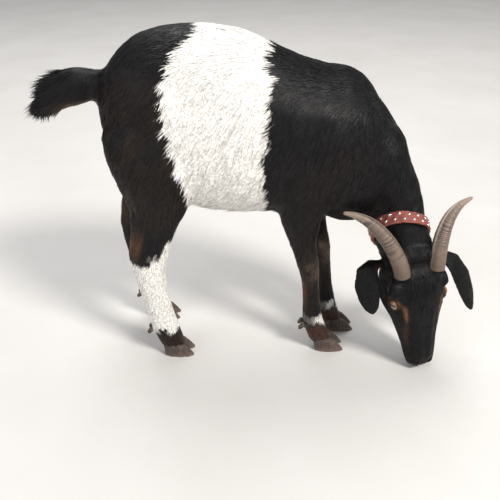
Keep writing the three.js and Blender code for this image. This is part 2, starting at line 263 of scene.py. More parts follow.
def relaxed(mesh, places, rounds, push=-0.53, weight=1.0):
    """Evens out a surface without shrinking it: each round pulls points together, then apart."""
    edges = read(mesh.edges, "vertices", 2, np.int32)
    count = np.bincount(edges.ravel(), minlength=len(places)).clip(1)[:, None]
    for factor in (0.5, push) * rounds:
        total = np.zeros_like(places)
        for axis in range(3):
            total[:, axis] = np.bincount(edges[:, 0], places[edges[:, 1], axis], len(places))
            total[:, axis] += np.bincount(edges[:, 1], places[edges[:, 0], axis], len(places))
        places = places + (total / count - places) * factor * weight
    return places


# ---- The guides that say how the coat lies ----
TRUNK_LINE = [(-246, 474, 76), (-205, 462, 109), (-150, 450, 136), (-90, 434, 152), (-20, 422, 152),
              (50, 415, 137), (110, 409, 127), (160, 398, 134), (198, 380, 122), (224, 366, 93)]
NECK_LINE = [(182, 0, 392), (222, 2, 346), (247, 4, 304), (264, -4, 268), (268, -32, 243), (276, -64, 224)]
TAIL_LINE = [(-225, 0, 500), (-244, 0, 500), (-278, 0, 497), (-312, 0, 490), (-344, 0, 476), (-367, 0, 460)]
EAR_LINES = {
    "right": [(12, -42, -36), (1, -38, -58), (8, -33, -76), (38, -30, -84), (68, -30, -83), (91, -30, -81)],
    "left": [(18, -42, 38), (16, -38, 62), (34, -33, 86), (70, -30, 100), (108, -30, 107), (139, -30, 109)],
}
EAR_HALF_WIDTHS = (10, 14, 22, 26.5, 21, 9.5)
LEG_LINES = {
    "foreleg_right": [(104, -70, 400), (92, -68, 345), (86, -62, 290), (92, -56, 238), (106, -51, 182),
                      (111, -48, 150), (115, -46, 100), (120, -45, 62), (131, -44, 34), (136, -44, 15)],
    "foreleg_left": [(116, 70, 400), (110, 66, 345), (110, 56, 290), (120, 44, 238), (136, 32, 182),
                     (141, 28, 150), (146, 23, 100), (151, 21, 62), (160, 20, 34), (164, 20, 15)],
    "hindleg_right": [(-158, -65, 435), (-156, -72, 380), (-156, -72, 330), (-166, -69, 285), (-178, -66, 240),
                      (-181, -65, 205), (-176, -64, 160), (-168, -62, 110), (-160, -60, 66), (-150, -59, 34),
                      (-145, -59, 15)],
    "hindleg_left": [(-166, 65, 435), (-172, 72, 380), (-184, 72, 330), (-204, 69, 285), (-219, 66, 240),
                     (-220, 65, 205), (-216, 64, 160), (-208, 62, 110), (-198, 60, 66), (-189, 59, 34),
                     (-184, 59, 15)],
}


def placed(rows, place=at):
    return np.array([place(*row) for row in rows])


TAIL_POINTS, NECK_POINTS = placed(TAIL_LINE), placed(NECK_LINE)
EAR_POINTS = {side: placed(rows, head_point) for side, rows in EAR_LINES.items()}
LEG_POINTS = {name: placed(rows) for name, rows in LEG_LINES.items()}


def nearest_on(line, points):
    """Nearest place on a line of points: the place, its share of the line, and the line's direction."""
    best = np.full(len(points), 1e9)
    place, tangent = np.zeros_like(points), np.zeros_like(points)
    share = np.zeros(len(points))
    for step, (start, end) in enumerate(zip(line[:-1], line[1:], strict=True)):
        along = end - start
        t = np.clip((points - start) @ along / (along @ along), 0, 1)
        near = start + t[:, None] * along
        distance = norm(points - near)
        closer = distance < best
        best = np.where(closer, distance, best)
        place[closer], tangent[closer] = near[closer], along
        share[closer] = (step + t[closer]) / (len(line) - 1)
    return place, share, unit(tangent)


def curve(rows, shares):
    """Smooth curve through rows of numbers, at each share of its length from 0 to 1."""
    padded = np.vstack([2 * rows[0] - rows[1], rows, 2 * rows[-1] - rows[-2]])
    place = np.clip(shares, 0, 1) * (len(rows) - 1)
    step = np.minimum(place.astype(int), len(rows) - 2)
    t = (place - step)[:, None]
    before, start, end, after = (padded[step + i] for i in range(4))
    leave, arrive = (end - before) / 2, (after - start) / 2
    cubic = 2 * start - 2 * end + leave + arrive
    square = -3 * start + 3 * end - 2 * leave - arrive
    return ((cubic * t + square) * t + leave) * t + start


# ---- Horns' paths, root to tip: along the head, out of it and to its side, half depth, half width ----
HORN_PATHS = {
    "right": [(29, 2, 30, 14.5, 13.5), (-4, 8, 35, 14.5, 13.2), (-44, 8, 49, 13.5, 12), (-79, 4, 70, 11, 9.5),
              (-100, -2, 93, 7.5, 6), (-110, -8, 113, 3, 2.5)],
    "left": [(32, 2, 32, 14.5, 13.5), (1, 8, 37, 14.5, 13.2), (-32, 8, 50, 13.5, 12), (-58, 4, 70, 11, 9.5),
             (-72, -2, 95, 7.5, 6), (-78, -8, 124, 3, 2.5)],
}
HORN_ROWS = {side: np.array([(*head_point(along, rise, SIDES[side] * out), depth * MM, width * MM)
                             for along, rise, out, depth, width in rows]) for side, rows in HORN_PATHS.items()}
HORN_LINES = {side: rows[:, :3] for side, rows in HORN_ROWS.items()}

# ---- Skin ----
FLESH = ["trunk", "neck", "head", "tail", *LIMBS, "ear_right", "ear_left"]
CLAWS = [f"hoof_{limb}_{part}" for limb in LIMBS for part in ("inner", "outer")]
DEWCLAWS = [claw.replace("hoof", "dewclaw") for claw in CLAWS]
FILLERS = ["eye_right", "eye_left", "horn_right", "horn_left", *CLAWS, *DEWCLAWS]

DOCK_THICKNESS = (0, 0.15, 0.5, 0.8, 1), (1, 0.96, 0.94, 0.72, 0.6)  # of the tail's brush, along it
DOCK_LENGTH = 0.80
EAR_THICKNESS = 0.8  # of the solid ear, which reaches out to the hair
EAR_NARROWER = 0.04
EAR_CUP = 4.0 * MM
HORN_CORE = 0.6
HORN_STUB = 0.3  # share of the horn's path that its core reaches
CLAW_CORE = 0.75
CORONET = 15 * MM
SKIN_VOXEL = 0.0047
HEAD_ZOOM = 2.6  # the head is this much larger while the skin is made, so that it gets finer faces
HEAD_REACH = 0.15
HEAD_MIDDLE = np.array(head_point(95, -35, 0))


def bare_shape(node, places):
    """A CAD solid's points without the hair on a tail or ear, and drawn in where another piece covers it."""
    kind, _, side = node.partition("_")
    if kind == "tail":
        middle, share, _ = nearest_on(TAIL_POINTS, places)
        places = middle + (places - middle) * np.interp(share, *DOCK_THICKNESS)[:, None]
        root = TAIL_POINTS[1]
        return root + (places - root) * np.array([DOCK_LENGTH, 1, 1])
    if kind == "ear":
        middle, share, along = nearest_on(EAR_POINTS[side], places)
        lean = np.array(nose * 0.35 - to_left * SIDES[side] + brow * 0.5)
        width_way = unit(lean - along * (along @ lean)[:, None])
        through = unit(np.cross(along, width_way))
        through *= np.sign(through @ BROW)[:, None]
        across = ((places - middle) * width_way).sum(1)
        depth = ((places - middle) * through).sum(1)
        half = np.interp(share, np.linspace(0, 1, len(EAR_HALF_WIDTHS)), EAR_HALF_WIDTHS) * MM
        open_part = fade(share, 0.1, 0.35)
        thickness = 1 + (EAR_THICKNESS - 1) * open_part
        cup = EAR_CUP * ((across / half) ** 2 - 0.35) * open_part
        places = places + through * (depth * (thickness - 1) - cup)[:, None]
        return places - width_way * (across * EAR_NARROWER)[:, None]
    if kind == "horn":
        middle, share, _ = nearest_on(HORN_LINES[side], places)
        core = 1 + (HORN_CORE - 1) * fade(share, 0.2, HORN_STUB)
        stub = curve(HORN_ROWS[side], np.minimum(share, HORN_STUB))[:, :3]
        return stub + (places - middle) * core[:, None]
    if kind in ("dewclaw", "hoof"):
        middle = np.array(box_centre(node))
        inner = middle + (places - middle) * CLAW_CORE
        if kind == "dewclaw":
            return inner
        bare = fade(places[:, 2], CORONET * 0.7, CORONET * 1.2)[:, None]
        return inner + (places - inner) * bare
    return places


def zoomed(places, back=False):
    """Points spread out around the head, or put back."""
    offset = places - HEAD_MIDDLE
    distance = norm(offset)
    extra = (HEAD_ZOOM - 1) * HEAD_REACH
    if back:
        to = np.where(distance < HEAD_ZOOM * HEAD_REACH, distance / HEAD_ZOOM, distance - extra)
    else:
        to = np.where(distance < HEAD_REACH, distance * HEAD_ZOOM, distance + extra)
    return HEAD_MIDDLE + offset * (to / np.maximum(distance, 1e-9))[:, None]


# ---- The coat: where it is long, how it lies and how deep the skin lies under it ----
# Each coat: hair length, tuft width, rise of the tip for its length, depth of the skin below the
# outline, layers of cover, how freely the hair hangs from the skin, and a tuft's peak for its width.
# Millimetres.
COATS = {
    "back": (21, 1.35, 0.035, 2.8, 2.7, 0, 0.24),
    "flank": (22, 1.4, 0.04, 3.0, 2.7, 0, 0.24),
    "belly": (30, 1.6, 0.09, 4, 3.0, 0.1, 0.26),
    "neck": (19, 1.3, 0.05, 2.6, 2.7, 0, 0.24),
    "poll": (15, 1.3, 0.045, 2.4, 3.2, 0, 0.22),
    "topknot": (22, 1.35, 0.17, 3, 4.0, 0.2, 0.28),
    "face": (8.5, 0.95, 0.045, 1.5, 2.5, 0, 0.14),
    "nose": (4.5, 0.85, 0.04, 0.8, 2.3, 0, 0.12),
    "ear": (8, 1.15, 0.06, 0.6, 2.4, 0, 0.16),
    "thigh": (22, 1.45, 0.05, 2.8, 2.7, 0, 0.24),
    "upper_leg": (16, 1.4, 0.06, 2.4, 2.6, 0, 0.24),
    "shank": (9.5, 1.3, 0.06, 1.5, 2.3, 0, 0.18),
    "foot": (8, 1.25, 0.09, 1.0, 2.4, 0, 0.18),
    "tail": (36, 1.7, 0.30, 0, 30, 0.75, 0.3),
}
LENGTH, WIDTH, _, DEPTH, COVER, _, _ = range(7)
KINDS = ("trunk", "neck", "head", "topknot", "ear_right", "ear_left", "leg", "tail")
TRUNK, NECK, HEAD, TOPKNOT, EAR_RIGHT, EAR_LEFT, LEG, TAIL = range(len(KINDS))
# Down the middle of the face: how far along and out, reach, and coat
FACE_ANCHORS = [(0, -34, 40, "poll"), (40, -34, 50, "face"), (75, -34, 50, "face"), (105, -36, 42, "face"),
                (135, -40, 36, "face"), (165, -42, 32, "nose"), (190, -44, 28, "nose"), (212, -45, 24, "nose")]
TOPKNOT_ANCHORS = [(22, 0), (38, -12), (38, 12), (54, -7), (54, 7), (70, 0)]
# Down a leg: the least height of each coat, and of each reach
LEG_COATS = [(320, "thigh"), (225, "upper_leg"), (80, "shank"), (-999, "foot")]
LEG_REACHES = [(320, 0.06), (260, 0.042), (200, 0.028), (-999, 0.022)]


def coat_anchors():
    """Places that pull the coat around them towards one kind: place, reach, coat, and kind of lie."""
    anchors = []
    for x, z, half in TRUNK_LINE:
        anchors += [(at(x, 0, z + half * 0.55), 0.075, "back", TRUNK)]
        anchors += [(at(x, y, z), 0.085, "flank", TRUNK) for y in (-35, 35)]
        anchors += [(at(x, 0, z - half * 0.6), 0.07, "belly" if -170 < x < 130 else "flank", TRUNK)]
    anchors += [(point, 0.058, "neck", NECK) for point in NECK_POINTS[1:]]
    anchors += [(head_point(along, rise, 0), reach * MM, coat, HEAD)
                for along, rise, reach, coat in FACE_ANCHORS]
    anchors += [(head_point(along, 14, left), 0.015, "topknot", TOPKNOT) for along, left in TOPKNOT_ANCHORS]
    for kind, side in ((EAR_RIGHT, "right"), (EAR_LEFT, "left")):
        anchors += [(point, 0.021, "ear", kind) for point in EAR_POINTS[side][1:]]
    for point in np.concatenate(list(LEG_POINTS.values())):
        z = (point[2] - ORIGIN[2]) / MM
        coat, reach = (next(value for least, value in rows if z > least) for rows in (LEG_COATS, LEG_REACHES))
        anchors.append((point, reach, coat, TRUNK if z > 370 else LEG))
    return anchors + [(point, 0.045, "tail", TAIL) for point in TAIL_POINTS[1:]]


ANCHORS = coat_anchors()
ANCHOR_PLACES = np.array([np.array(a[0]) for a in ANCHORS])
ANCHOR_REACHES = np.array([a[1] for a in ANCHORS])
ANCHOR_COATS = np.array([COATS[a[2]] for a in ANCHORS])
ANCHOR_KINDS = np.eye(len(KINDS))[[a[3] for a in ANCHORS]]


def pulls(points):
    """How strongly each anchor pulls each point, adding up to 1 a point."""
    found = []
    for block in np.array_split(points, max(1, len(points) // 20000)):
        distance = norm(block[:, None] - ANCHOR_PLACES) / ANCHOR_REACHES
        pull = 1 / (distance**2 + 0.02) ** 4
        found.append(pull / pull.sum(1, keepdims=True))
    return np.concatenate(found)


def lie_of_trunk(points):
    """Backwards along the back and belly, down and back on the flanks, and down over the buttocks."""
    x, y, z = drawn(points).T
    xs, zs, halves = np.array(TRUNK_LINE).T
    height = np.clip((z - np.interp(x, xs, zs)) / np.interp(x, xs, halves), -1, 1)
    down = 1.5 * fade(height, 1.0, 0.35) * fade(height, -1.05, -0.5)
    down = down + 1.4 * fade(x, -150, -215)
    return np.stack([-np.ones_like(x), 0.12 * np.sign(y) * fade(height, 0.6, 1), -0.12 - down], 1)


def lie_of_coat(points, pull):
    """Direction of the hair at each point, not yet laid along the skin, and the kinds of coat there."""
    left = head_coordinates(points)[2]
    side = np.clip(left / 30, -1, 1)[:, None]
    cheek = fade(np.abs(left), 18, 42)[:, None]
    middle, share, tail_way = nearest_on(TAIL_POINTS, points)
    ways = [
        lie_of_trunk(points),
        -nearest_on(NECK_POINTS, points)[2] - UP * 0.35,
        -NOSE - BROW * 0.9 * cheek + LEFT * side * 0.25,
        NOSE + LEFT * side * 0.7 + BROW * 0.1,
        *(nearest_on(EAR_POINTS[side_name], points)[2] for side_name in SIDES),
        np.broadcast_to(np.array([-0.22, 0, -1.0]), points.shape),
        tail_way + unit(points - middle) * (0.10 + 0.30 * share[:, None]) - UP * 0.08,
    ]
    kinds = pull @ ANCHOR_KINDS
    lie = sum(unit(way) * kinds[:, [k]] for k, way in enumerate(ways))
    return lie + NOSE * poll_parting(points)[:, None] * 0.4, kinds


def poll_parting(points):
    """How near the points are to the poll, where the hair of the neck and of the forehead part."""
    along, rise, left = head_coordinates(points)
    return hill(along, -2, 15) * hill(left, 0, 40) * fade(rise, -26, -8)


# ---- Markings ----
BLACK = np.array([0.0050, 0.0046, 0.0052])
BROWN = np.array([0.024, 0.0130, 0.0085])
TAN = np.array([0.30, 0.135, 0.060])
WHITE = np.array([0.83, 0.80, 0.75])
LOW_BELT_TAN = np.array([0.34, 0.23, 0.16])
FOOT_BROWN = np.array([0.060, 0.028, 0.020])
GREY_BROWN = np.array([0.10, 0.070, 0.052])

# Belt edges: height and how far forward, in the drawing's millimetres
BELT_REAR = [(300, -95), (349, -103), (387, -110), (423, -120), (462, -128), (495, -131), (517, -134),
             (549, -115), (564, -110), (585, -83), (600, -79)]
BELT_FRONT = [(300, 30), (342, 24), (385, 20), (441, 24), (479, 29), (507, 34), (528, 40), (533, 31),
              (546, 29), (560, 35), (590, 44)]
# White on each lower leg, from one height to another, and how tan its hock is; the left hock's tan is kept weaker
# as painted shade, since that far leg stands in shade
SOCKS = {"foreleg_right": (64, 82, 0), "foreleg_left": (54, 68, 0),
         "hindleg_right": (61, 212, 0.75), "hindleg_left": (61, 152, 0.35)}
STRIPE_LINE = (62, 75, 108, 148, 175), (40, 36, 31, 30, 28)  # from the eye down the nose: along, and out


def blended(colour, other, share):
    return colour + (other - colour) * np.clip(share, 0, 1)[:, None]


def coat_colours(points, pull):
    """Colour of the hair rooted at each point."""
    x, y, z = drawn(points).T
    along, rise, left = head_coordinates(points)
    kinds = (pull @ ANCHOR_KINDS).T
    body = kinds[TRUNK] + kinds[LEG] + kinds[NECK] + kinds[TAIL]
    ragged = waves(points, 0.035, 1) * 3.5 + waves(points, 0.013, 2) * 2.5
    colour = np.broadcast_to(BLACK, points.shape).copy()

    def paint(other, share):
        colour[:] = blended(colour, other, share)

    # Sun has browned the black on the rump, thighs and shoulders
    faded = hill(x, -175, 75) * fade(z, 560, 500) * fade(z, 250, 330)
    faded = faded + 0.45 * hill(x, 120, 60) * fade(z, 470, 380)
    faded = faded * body * (0.6 + 0.4 * waves(points, 0.05, 3))
    paint(BROWN, faded * 0.5)

    # Belt
    rear, front = (np.interp(z, *np.array(edge).T) for edge in (BELT_REAR, BELT_FRONT))
    belt = fade(x + ragged - rear, -2.5, 2.5)
    belt = belt * fade(front - x - ragged, -2.5, 2.5)
    belt = belt * fade(z, 282, 288)
    paint(WHITE, belt)
    # A tan tint on the lowest part of the belt, under the belly and towards its rear
    low_belt = fade(z + ragged * 2, 312, 290) * hill(x, -55, 34)
    paint(LOW_BELT_TAN, belt * low_belt * 0.7)

    # Legs
    for name, line in LEG_POINTS.items():
        middle, _, _ = nearest_on(line, points)
        near = (norm(points - middle) < 0.06) & ((y > 0) == name.endswith("left"))
        ahead = x - drawn(middle)[:, 0]
        behind = fade(-ahead, 4, 14)
        low, high, hock = SOCKS[name]
        if name.startswith("hindleg"):
            slope = 0.35 * np.clip(ahead, -20, 45) + 26 * fade(ahead, 20, 34)
            sock = fade(z + ragged, low - 4, low + 3)
            sock = sock * fade(high + slope + ragged * 1.6 - z, -4, 4)
            # Tan at the back of the hock; on the left leg it is weaker, as painted shade
            paint(TAN * 0.4, near * behind * hill(z, 248, 24) * hock)
            paint(WHITE, near * sock)
            paint(BROWN, near * fade(z, 62, 45) * 0.8)
        else:
            knee = hill(z, 182, 30) * fade(ahead, -12, 0)
            paint(GREY_BROWN * 0.7, near * knee * (0.7 + 0.3 * waves(points, 0.02, 4)))
            paint(TAN * 0.45, near * behind * hill(z, 135, 34) * 0.7)
            sock = fade(z + ragged, low - 3, low + 3)
            sock = sock * fade(high + ragged * 1.4 - z, -3, 3)
            paint(WHITE, near * sock * (0.12 + 0.8 * fade(ahead, -5, 7)))
            paint(FOOT_BROWN, near * fade(z + ragged, low + 1, low - 7) * 0.8)

    # Under the tail
    under_tail = fade(x, -236, -246) * fade(z, 482, 470) * fade(z, 360, 400)
    paint(TAN * 0.6, under_tail * hill(y, 0, 20) * 0.8 * kinds[TRUNK])

    # Face: a stripe from each eye down the side of the nose, a rim round the eye, the ears' edges
    out = np.abs(left)
    on_head = kinds[HEAD] + kinds[TOPKNOT]
    stripe = hill(out, np.interp(along, *STRIPE_LINE), 2.9) * fade(along, 72, 82) * fade(rise, -36, -22)
    paint(BROWN * 2.0, on_head * (stripe * fade(along, 180, 145)))
    paint(TAN, on_head * (stripe * fade(along, 116, 100)) * (0.5 + 0.2 * waves(points, 0.012, 5)))
    to_eye = np.sqrt((along - EYE_ALONG) ** 2 + (rise - EYE_RISE) ** 2 + (out - EYE_OUT - 6) ** 2)
    round_eye = fade(to_eye, 21, 15) * fade(along, 88, 70)
    paint(TAN * 0.5, on_head * round_eye * fade(rise, -26, -12) * 0.6)
    ear_root = hill(along, 14, 11) * fade(out, 44, 50) * fade(out, 66, 56) * fade(rise, -34, -24)
    paint(TAN * 0.6, ear_root * 0.8)
    return colour


# ---- Materials ----
class Look:
    """A material in the making: each call adds shader nodes and gives the socket that comes out."""

    def __init__(self, name):
        self.material = bpy.data.materials.new(name)
        self.material.use_nodes = True
        self.tree = self.material.node_tree
        self.shader = self.tree.nodes["Principled BSDF"]

    def feed(self, socket, value):
        if isinstance(value, bpy.types.NodeSocket):
            self.tree.links.new(value, socket)
        else:
            socket.default_value = value

    def node(self, kind, inputs, output=0, **settings):
        made = self.tree.nodes.new("ShaderNode" + kind)
        for key, value in settings.items():
            setattr(made, key, value)
        for key, value in inputs.items():
            self.feed(made.inputs[key], value)
        return made.outputs[output]

    def place(self, stretch=(1, 1, 1)):
        """Places on the piece, scaled by `stretch`."""
        return self.node("Mapping", {"Vector": self.node("TexCoord", {}, "Object"), "Scale": stretch})

    def noise(self, scale, detail=3, roughness=0.55, where=None):
        sockets = {"Vector": where or self.place(), "Scale": scale, "Detail": detail, "Roughness": roughness}
        return self.node("TexNoise", sockets, "Fac")

    def streaks(self, stretch, detail, roughness=0.6):
        return self.noise(1.0, detail, roughness, self.place(stretch))

    def span(self, value, low, high, to_low=0.0, to_high=1.0):
        sockets = {"Value": value, "From Min": low, "From Max": high, "To Min": to_low, "To Max": to_high}
        return self.node("MapRange", sockets, "Result")

    def maths(self, how, first, second=0.0):
        return self.node("Math", {0: first, 1: second}, operation=how)

    def vector_maths(self, how, vector, output):
        return self.node("VectorMath", {0: vector}, output, operation=how)

    def stored(self, name, output="Fac"):
        return self.node("Attribute", {}, output, attribute_name=name)

    def ramp(self, value, low, high, *colours):
        """Colours set evenly along a value's span."""
        made = self.node("ValToRGB", {"Fac": self.span(value, low, high)})
        elements = made.node.color_ramp.elements
        for _ in colours[2:]:
            elements.new(0.5)
        for step, (element, colour) in enumerate(zip(elements, colours, strict=True)):
            element.position = step / (len(colours) - 1)
            element.color = (*colour, 1)
        return made

    def mix(self, share, first, second, how="MIX"):
        made = self.node("Mix", {}, data_type="RGBA", blend_type=how).node
        for key, value in (("Factor", share), ("A", first), ("B", second)):
            socket = next(s for s in made.inputs if s.name == key and s.enabled)
            self.feed(socket, (*value, 1) if isinstance(value, tuple) else value)
        return next(s for s in made.outputs if s.enabled)

    def finished(self, colour, roughness, more=None, bumps=None):
        """The material, with its bumps given as height, distance and strength."""
        if bumps:
            sockets = dict(zip(("Height", "Distance", "Strength"), bumps, strict=True))
            self.feed(self.shader.inputs["Normal"], self.node("Bump", sockets))
        for key, value in {"Base Color": colour, "Roughness": roughness, **(more or {})}.items():
            self.feed(self.shader.inputs[key], value)
        return self.material


def hair_material(name, roughness, gloss, short=False):
    """Hair: the colour stored at each root, uneven from lock to lock, or fine and short with bare pores."""
    look = Look(name)
    uneven = look.span(look.noise(260, 4), 0.3, 0.7, 0.72, 1.28)
    colour = look.mix(1.0, look.stored("hair", "Color"), uneven, "MULTIPLY")
    patchy = look.span(look.noise(45), 0.3, 0.7, roughness - 0.07, roughness + 0.09)
    bumps = None
    if short:
        strands = look.streaks((900, 900, 130), 2)
        bumps = look.mix(look.stored("bare"), strands, look.noise(900, 2, 0.6)), 0.0006, 0.6
    return look.finished(colour, patchy, {"Specular IOR Level": gloss}, bumps)


def horn_material():
    """Horn: taupe, with fine darker rings painted as shade in the grooves between its growth ridges, a keel
    painted paler as a highlight, and a paler tip.
    """
    look = Look("horn_keratin")
    along, ring, keel = (look.stored(name) for name in ("along", "ring", "keel"))
    fibres = look.streaks((420, 420, 420), 4, 0.65)
    colour = look.ramp(fibres, 0.32, 0.68, (0.122, 0.082, 0.060), (0.232, 0.166, 0.122))
    # The rings' dark is painted shade in the grooves, and the keel's pale is a painted highlight on its ridge
    for share, other in (
        (look.span(along, 0.55, 0.95), (0.285, 0.215, 0.165)),
        (look.span(ring, 0.62, 0.10, 0.0, 0.80), (0.045, 0.035, 0.030)),
        (look.span(keel, 0.3, 0.9, 0.0, 0.85), (0.50, 0.41, 0.33)),
        (look.span(along, 0.24, 0.12, 0.0, 0.6), (0.10, 0.07, 0.05)),
    ):
        colour = look.mix(share, colour, other)
    return look.finished(colour, look.span(fibres, 0.3, 0.7, 0.38, 0.58), bumps=(fibres, 0.0005, 0.5))


def hoof_material():
    """Hoof: brown and slate horn in vertical streaks, with level growth lines and a scuffed, dusty rim."""
    look = Look("hoof_keratin")
    streaks = look.streaks((300, 300, 25), 4)
    lines = look.streaks((12, 12, 420), 3, 0.5)
    base = look.ramp(streaks, 0.3, 0.7, (0.030, 0.026, 0.028), (0.075, 0.050, 0.038), (0.165, 0.105, 0.075))
    lined = look.mix(look.span(lines, 0.4, 0.62, 0.0, 0.45), base, (0.030, 0.024, 0.022))
    low = look.span(look.node("SeparateXYZ", {0: look.place()}, "Z"), 0.0, 0.011, 0.6, 0.0)
    dusty = look.mix(look.maths("MULTIPLY", low, look.noise(120, 4)), lined, (0.30, 0.21, 0.16))
    return look.finished(dusty, look.span(streaks, 0.3, 0.7, 0.5, 0.75), bumps=(lines, 0.0008, 0.8))


def eye_material():
    """Eye: amber iris with fine rays, a long level pupil, a dark rim and a wet surface."""
    look = Look("eye_wet")
    parts = look.node("SeparateXYZ", {0: look.stored("gaze", "Vector")}).node
    level, upright = parts.outputs["X"], parts.outputs["Y"]
    flat = look.node("CombineXYZ", {"X": level, "Y": upright})
    radius = look.vector_maths("LENGTH", flat, "Value")
    rays = look.noise(14, 4, 0.7, look.vector_maths("NORMALIZE", flat, 0))
    iris = look.ramp(rays, 0.3, 0.7, (0.10, 0.038, 0.010), (0.40, 0.20, 0.065))
    rim = look.mix(look.span(radius, 0.60, 0.74), iris, (0.020, 0.012, 0.010))
    white = look.mix(look.span(radius, 0.86, 0.95), rim, (0.22, 0.15, 0.12))
    reaches = [look.maths("POWER", look.maths("ABSOLUTE", look.maths("DIVIDE", way, half)), 4.0)
               for way, half in ((level, 0.46), (upright, 0.15))]
    pupil = look.span(look.maths("ADD", *reaches), 0.75, 1.15)
    wet = {"Coat Weight": 1.0, "Coat Roughness": 0.03}
    colour = look.mix(pupil, (0.003, 0.003, 0.004), white)
    return look.finished(colour, look.span(rays, 0.2, 0.8, 0.10, 0.20), wet)


def leather_material():
    """Collar leather: dull brick red, grained, with painted shade in the grain's creases, and rubbed paler on its
    edges.
    """
    look = Look("collar_leather")
    grain = look.node("TexVoronoi", {"Vector": look.place(), "Scale": 850.0}, "Distance")
    cloudy = look.noise(95, 4, 0.6)
    base = look.ramp(cloudy, 0.3, 0.7, (0.165, 0.034, 0.027), (0.31, 0.072, 0.056))
    worn = look.mix(look.stored("edge"), base, (0.42, 0.17, 0.13))
    # Painted shade: darker in the pits of the grain
    shaded_creases = look.mix(look.span(grain, 0.0, 0.35, 0.35, 0.0), worn, (0.12, 0.025, 0.02))
    return look.finished(shaded_creases, look.span(cloudy, 0.3, 0.7, 0.45, 0.68), bumps=(grain, 0.0004, 0.7))


def metal_material():
    """Studs: bright nickel, lightly scratched and tarnished."""
    look = Look("stud_nickel")
    scratches = look.streaks((900, 200, 1400), 3)
    colour = look.ramp(look.noise(300, 3, 0.6), 0.3, 0.75, (0.83, 0.82, 0.80), (0.60, 0.56, 0.50))
    return look.finished(colour, look.span(scratches, 0.3, 0.7, 0.16, 0.34), {"Metallic": 1.0})


COAT = hair_material("coat_hair", 0.43, 0.21)
SKIN = hair_material("coat_skin", 0.50, 0.16, short=True)

# ---- Eyes' lids, in directions from the middle of each eye ----
LID_LENGTH = math.radians(56)  # from the middle of the opening to its corner
LID_HEIGHT = math.radians(34)
EYE_DEPTH = 2.2 * MM  # further into the head than the solid eye, which stands in for the lids too
LID_REACH = 26 * MM


def eye_axes(side):
    """Middle of the eye, the way it looks, the way to its inner corner, and upwards."""
    middle = head_point(EYE_ALONG, EYE_RISE, SIDES[side] * EYE_OUT)
    looks = (to_left * SIDES[side] * 0.86 + brow * 0.50 - nose * 0.06).normalized()
    middle = middle - looks * EYE_DEPTH
    corner = nose + brow * 0.10
    corner = (corner - looks * corner.dot(looks)).normalized()
    upwards = looks.cross(corner) * (-SIDES[side])
    return [np.array(v) for v in (middle, looks, corner, upwards)]


EYES = {side: eye_axes(side) for side in SIDES}


def lid_opening(points, side):
    """How far each point is from the eye, its direction, and its place: 1 on the lids' edge, less inside."""
    middle, looks, corner, upwards = EYES[side]
    offset = points - middle
    distance = norm(offset)
    way = offset / np.maximum(distance, 1e-9)[:, None]
    across = np.arctan2(way @ corner, np.maximum(way @ looks, 1e-3))
    over = np.arcsin(np.clip(way @ upwards, -1, 1))
    edge = np.abs(across / LID_LENGTH) ** 1.7 + np.abs(over / LID_HEIGHT) ** 1.35
    edge[way @ looks < 0.05] = 9
    return distance, way, edge, over


def with_lids(places):
    """Wraps the skin round each eye: it dips behind the eyeball in the opening and folds above it."""
    for side in SIDES:
        distance, way, edge, over = lid_opening(places, side)
        margin = (EYE_RADIUS + 0.45) * MM
        lid = margin + (1.2 * fade(edge, 1.0, 1.45) + 0.8 * fade(edge, 1.45, 2.4)) * MM
        lid = lid - 0.8 * MM * hill(edge, 2.05, 0.22) * (over > 0)
        lid = np.where(edge < 0.97, (EYE_RADIUS - 2.2) * MM, lid)
        held = fade(edge, 3.0, 1.7) * (distance < LID_REACH)
        places = places + way * ((lid - distance) * held)[:, None]
    return places


# ---- Shape of the face and body under the coat ----
# Places in the drawing's millimetres, reach and height: hip, flank hollow, shoulder, its lower end,
# elbow, buttock, thigh
RELIEF = [
    ((-150, 78, 540), 24, 3.5), ((-95, 100, 500), 34, -4.5), ((118, 82, 480), 30, 2.5), ((140, 84, 430), 26, 2.5),
    ((84, 84, 335), 20, 3.0), ((-236, 40, 440), 24, 3.0), ((-150, 110, 385), 40, 2.5),
]
NOSE_RIDGES = (80, 120, 150, 195), (19, 13, 10, 8)  # along the head, and out from its middle
MOUTH_LINE = (150, 170, 200, 225), (-61, -59, -55, -52)  # along the head, and out of the face
NOSTRIL_ALONG, NOSTRIL_OUT = 209, 11.0
NOSTRIL_HALF_LENGTH, NOSTRIL_HALF_WIDTH = 7.0, 2.3
NOSTRIL_WAYS = np.array([[0.80, -0.60], [0.60, 0.80]])  # of its length and its width, as it leans


def with_relief(places, normals):
    x, y, z = drawn(places).T
    height = np.zeros(len(places))
    for (at_x, at_y, at_z), reach, rise in RELIEF:
        distance = (x - at_x) ** 2 + (np.abs(y) - at_y) ** 2 + (z - at_z) ** 2
        height += rise * np.exp(-distance / reach**2)
    return places + normals * (height * MM)[:, None]


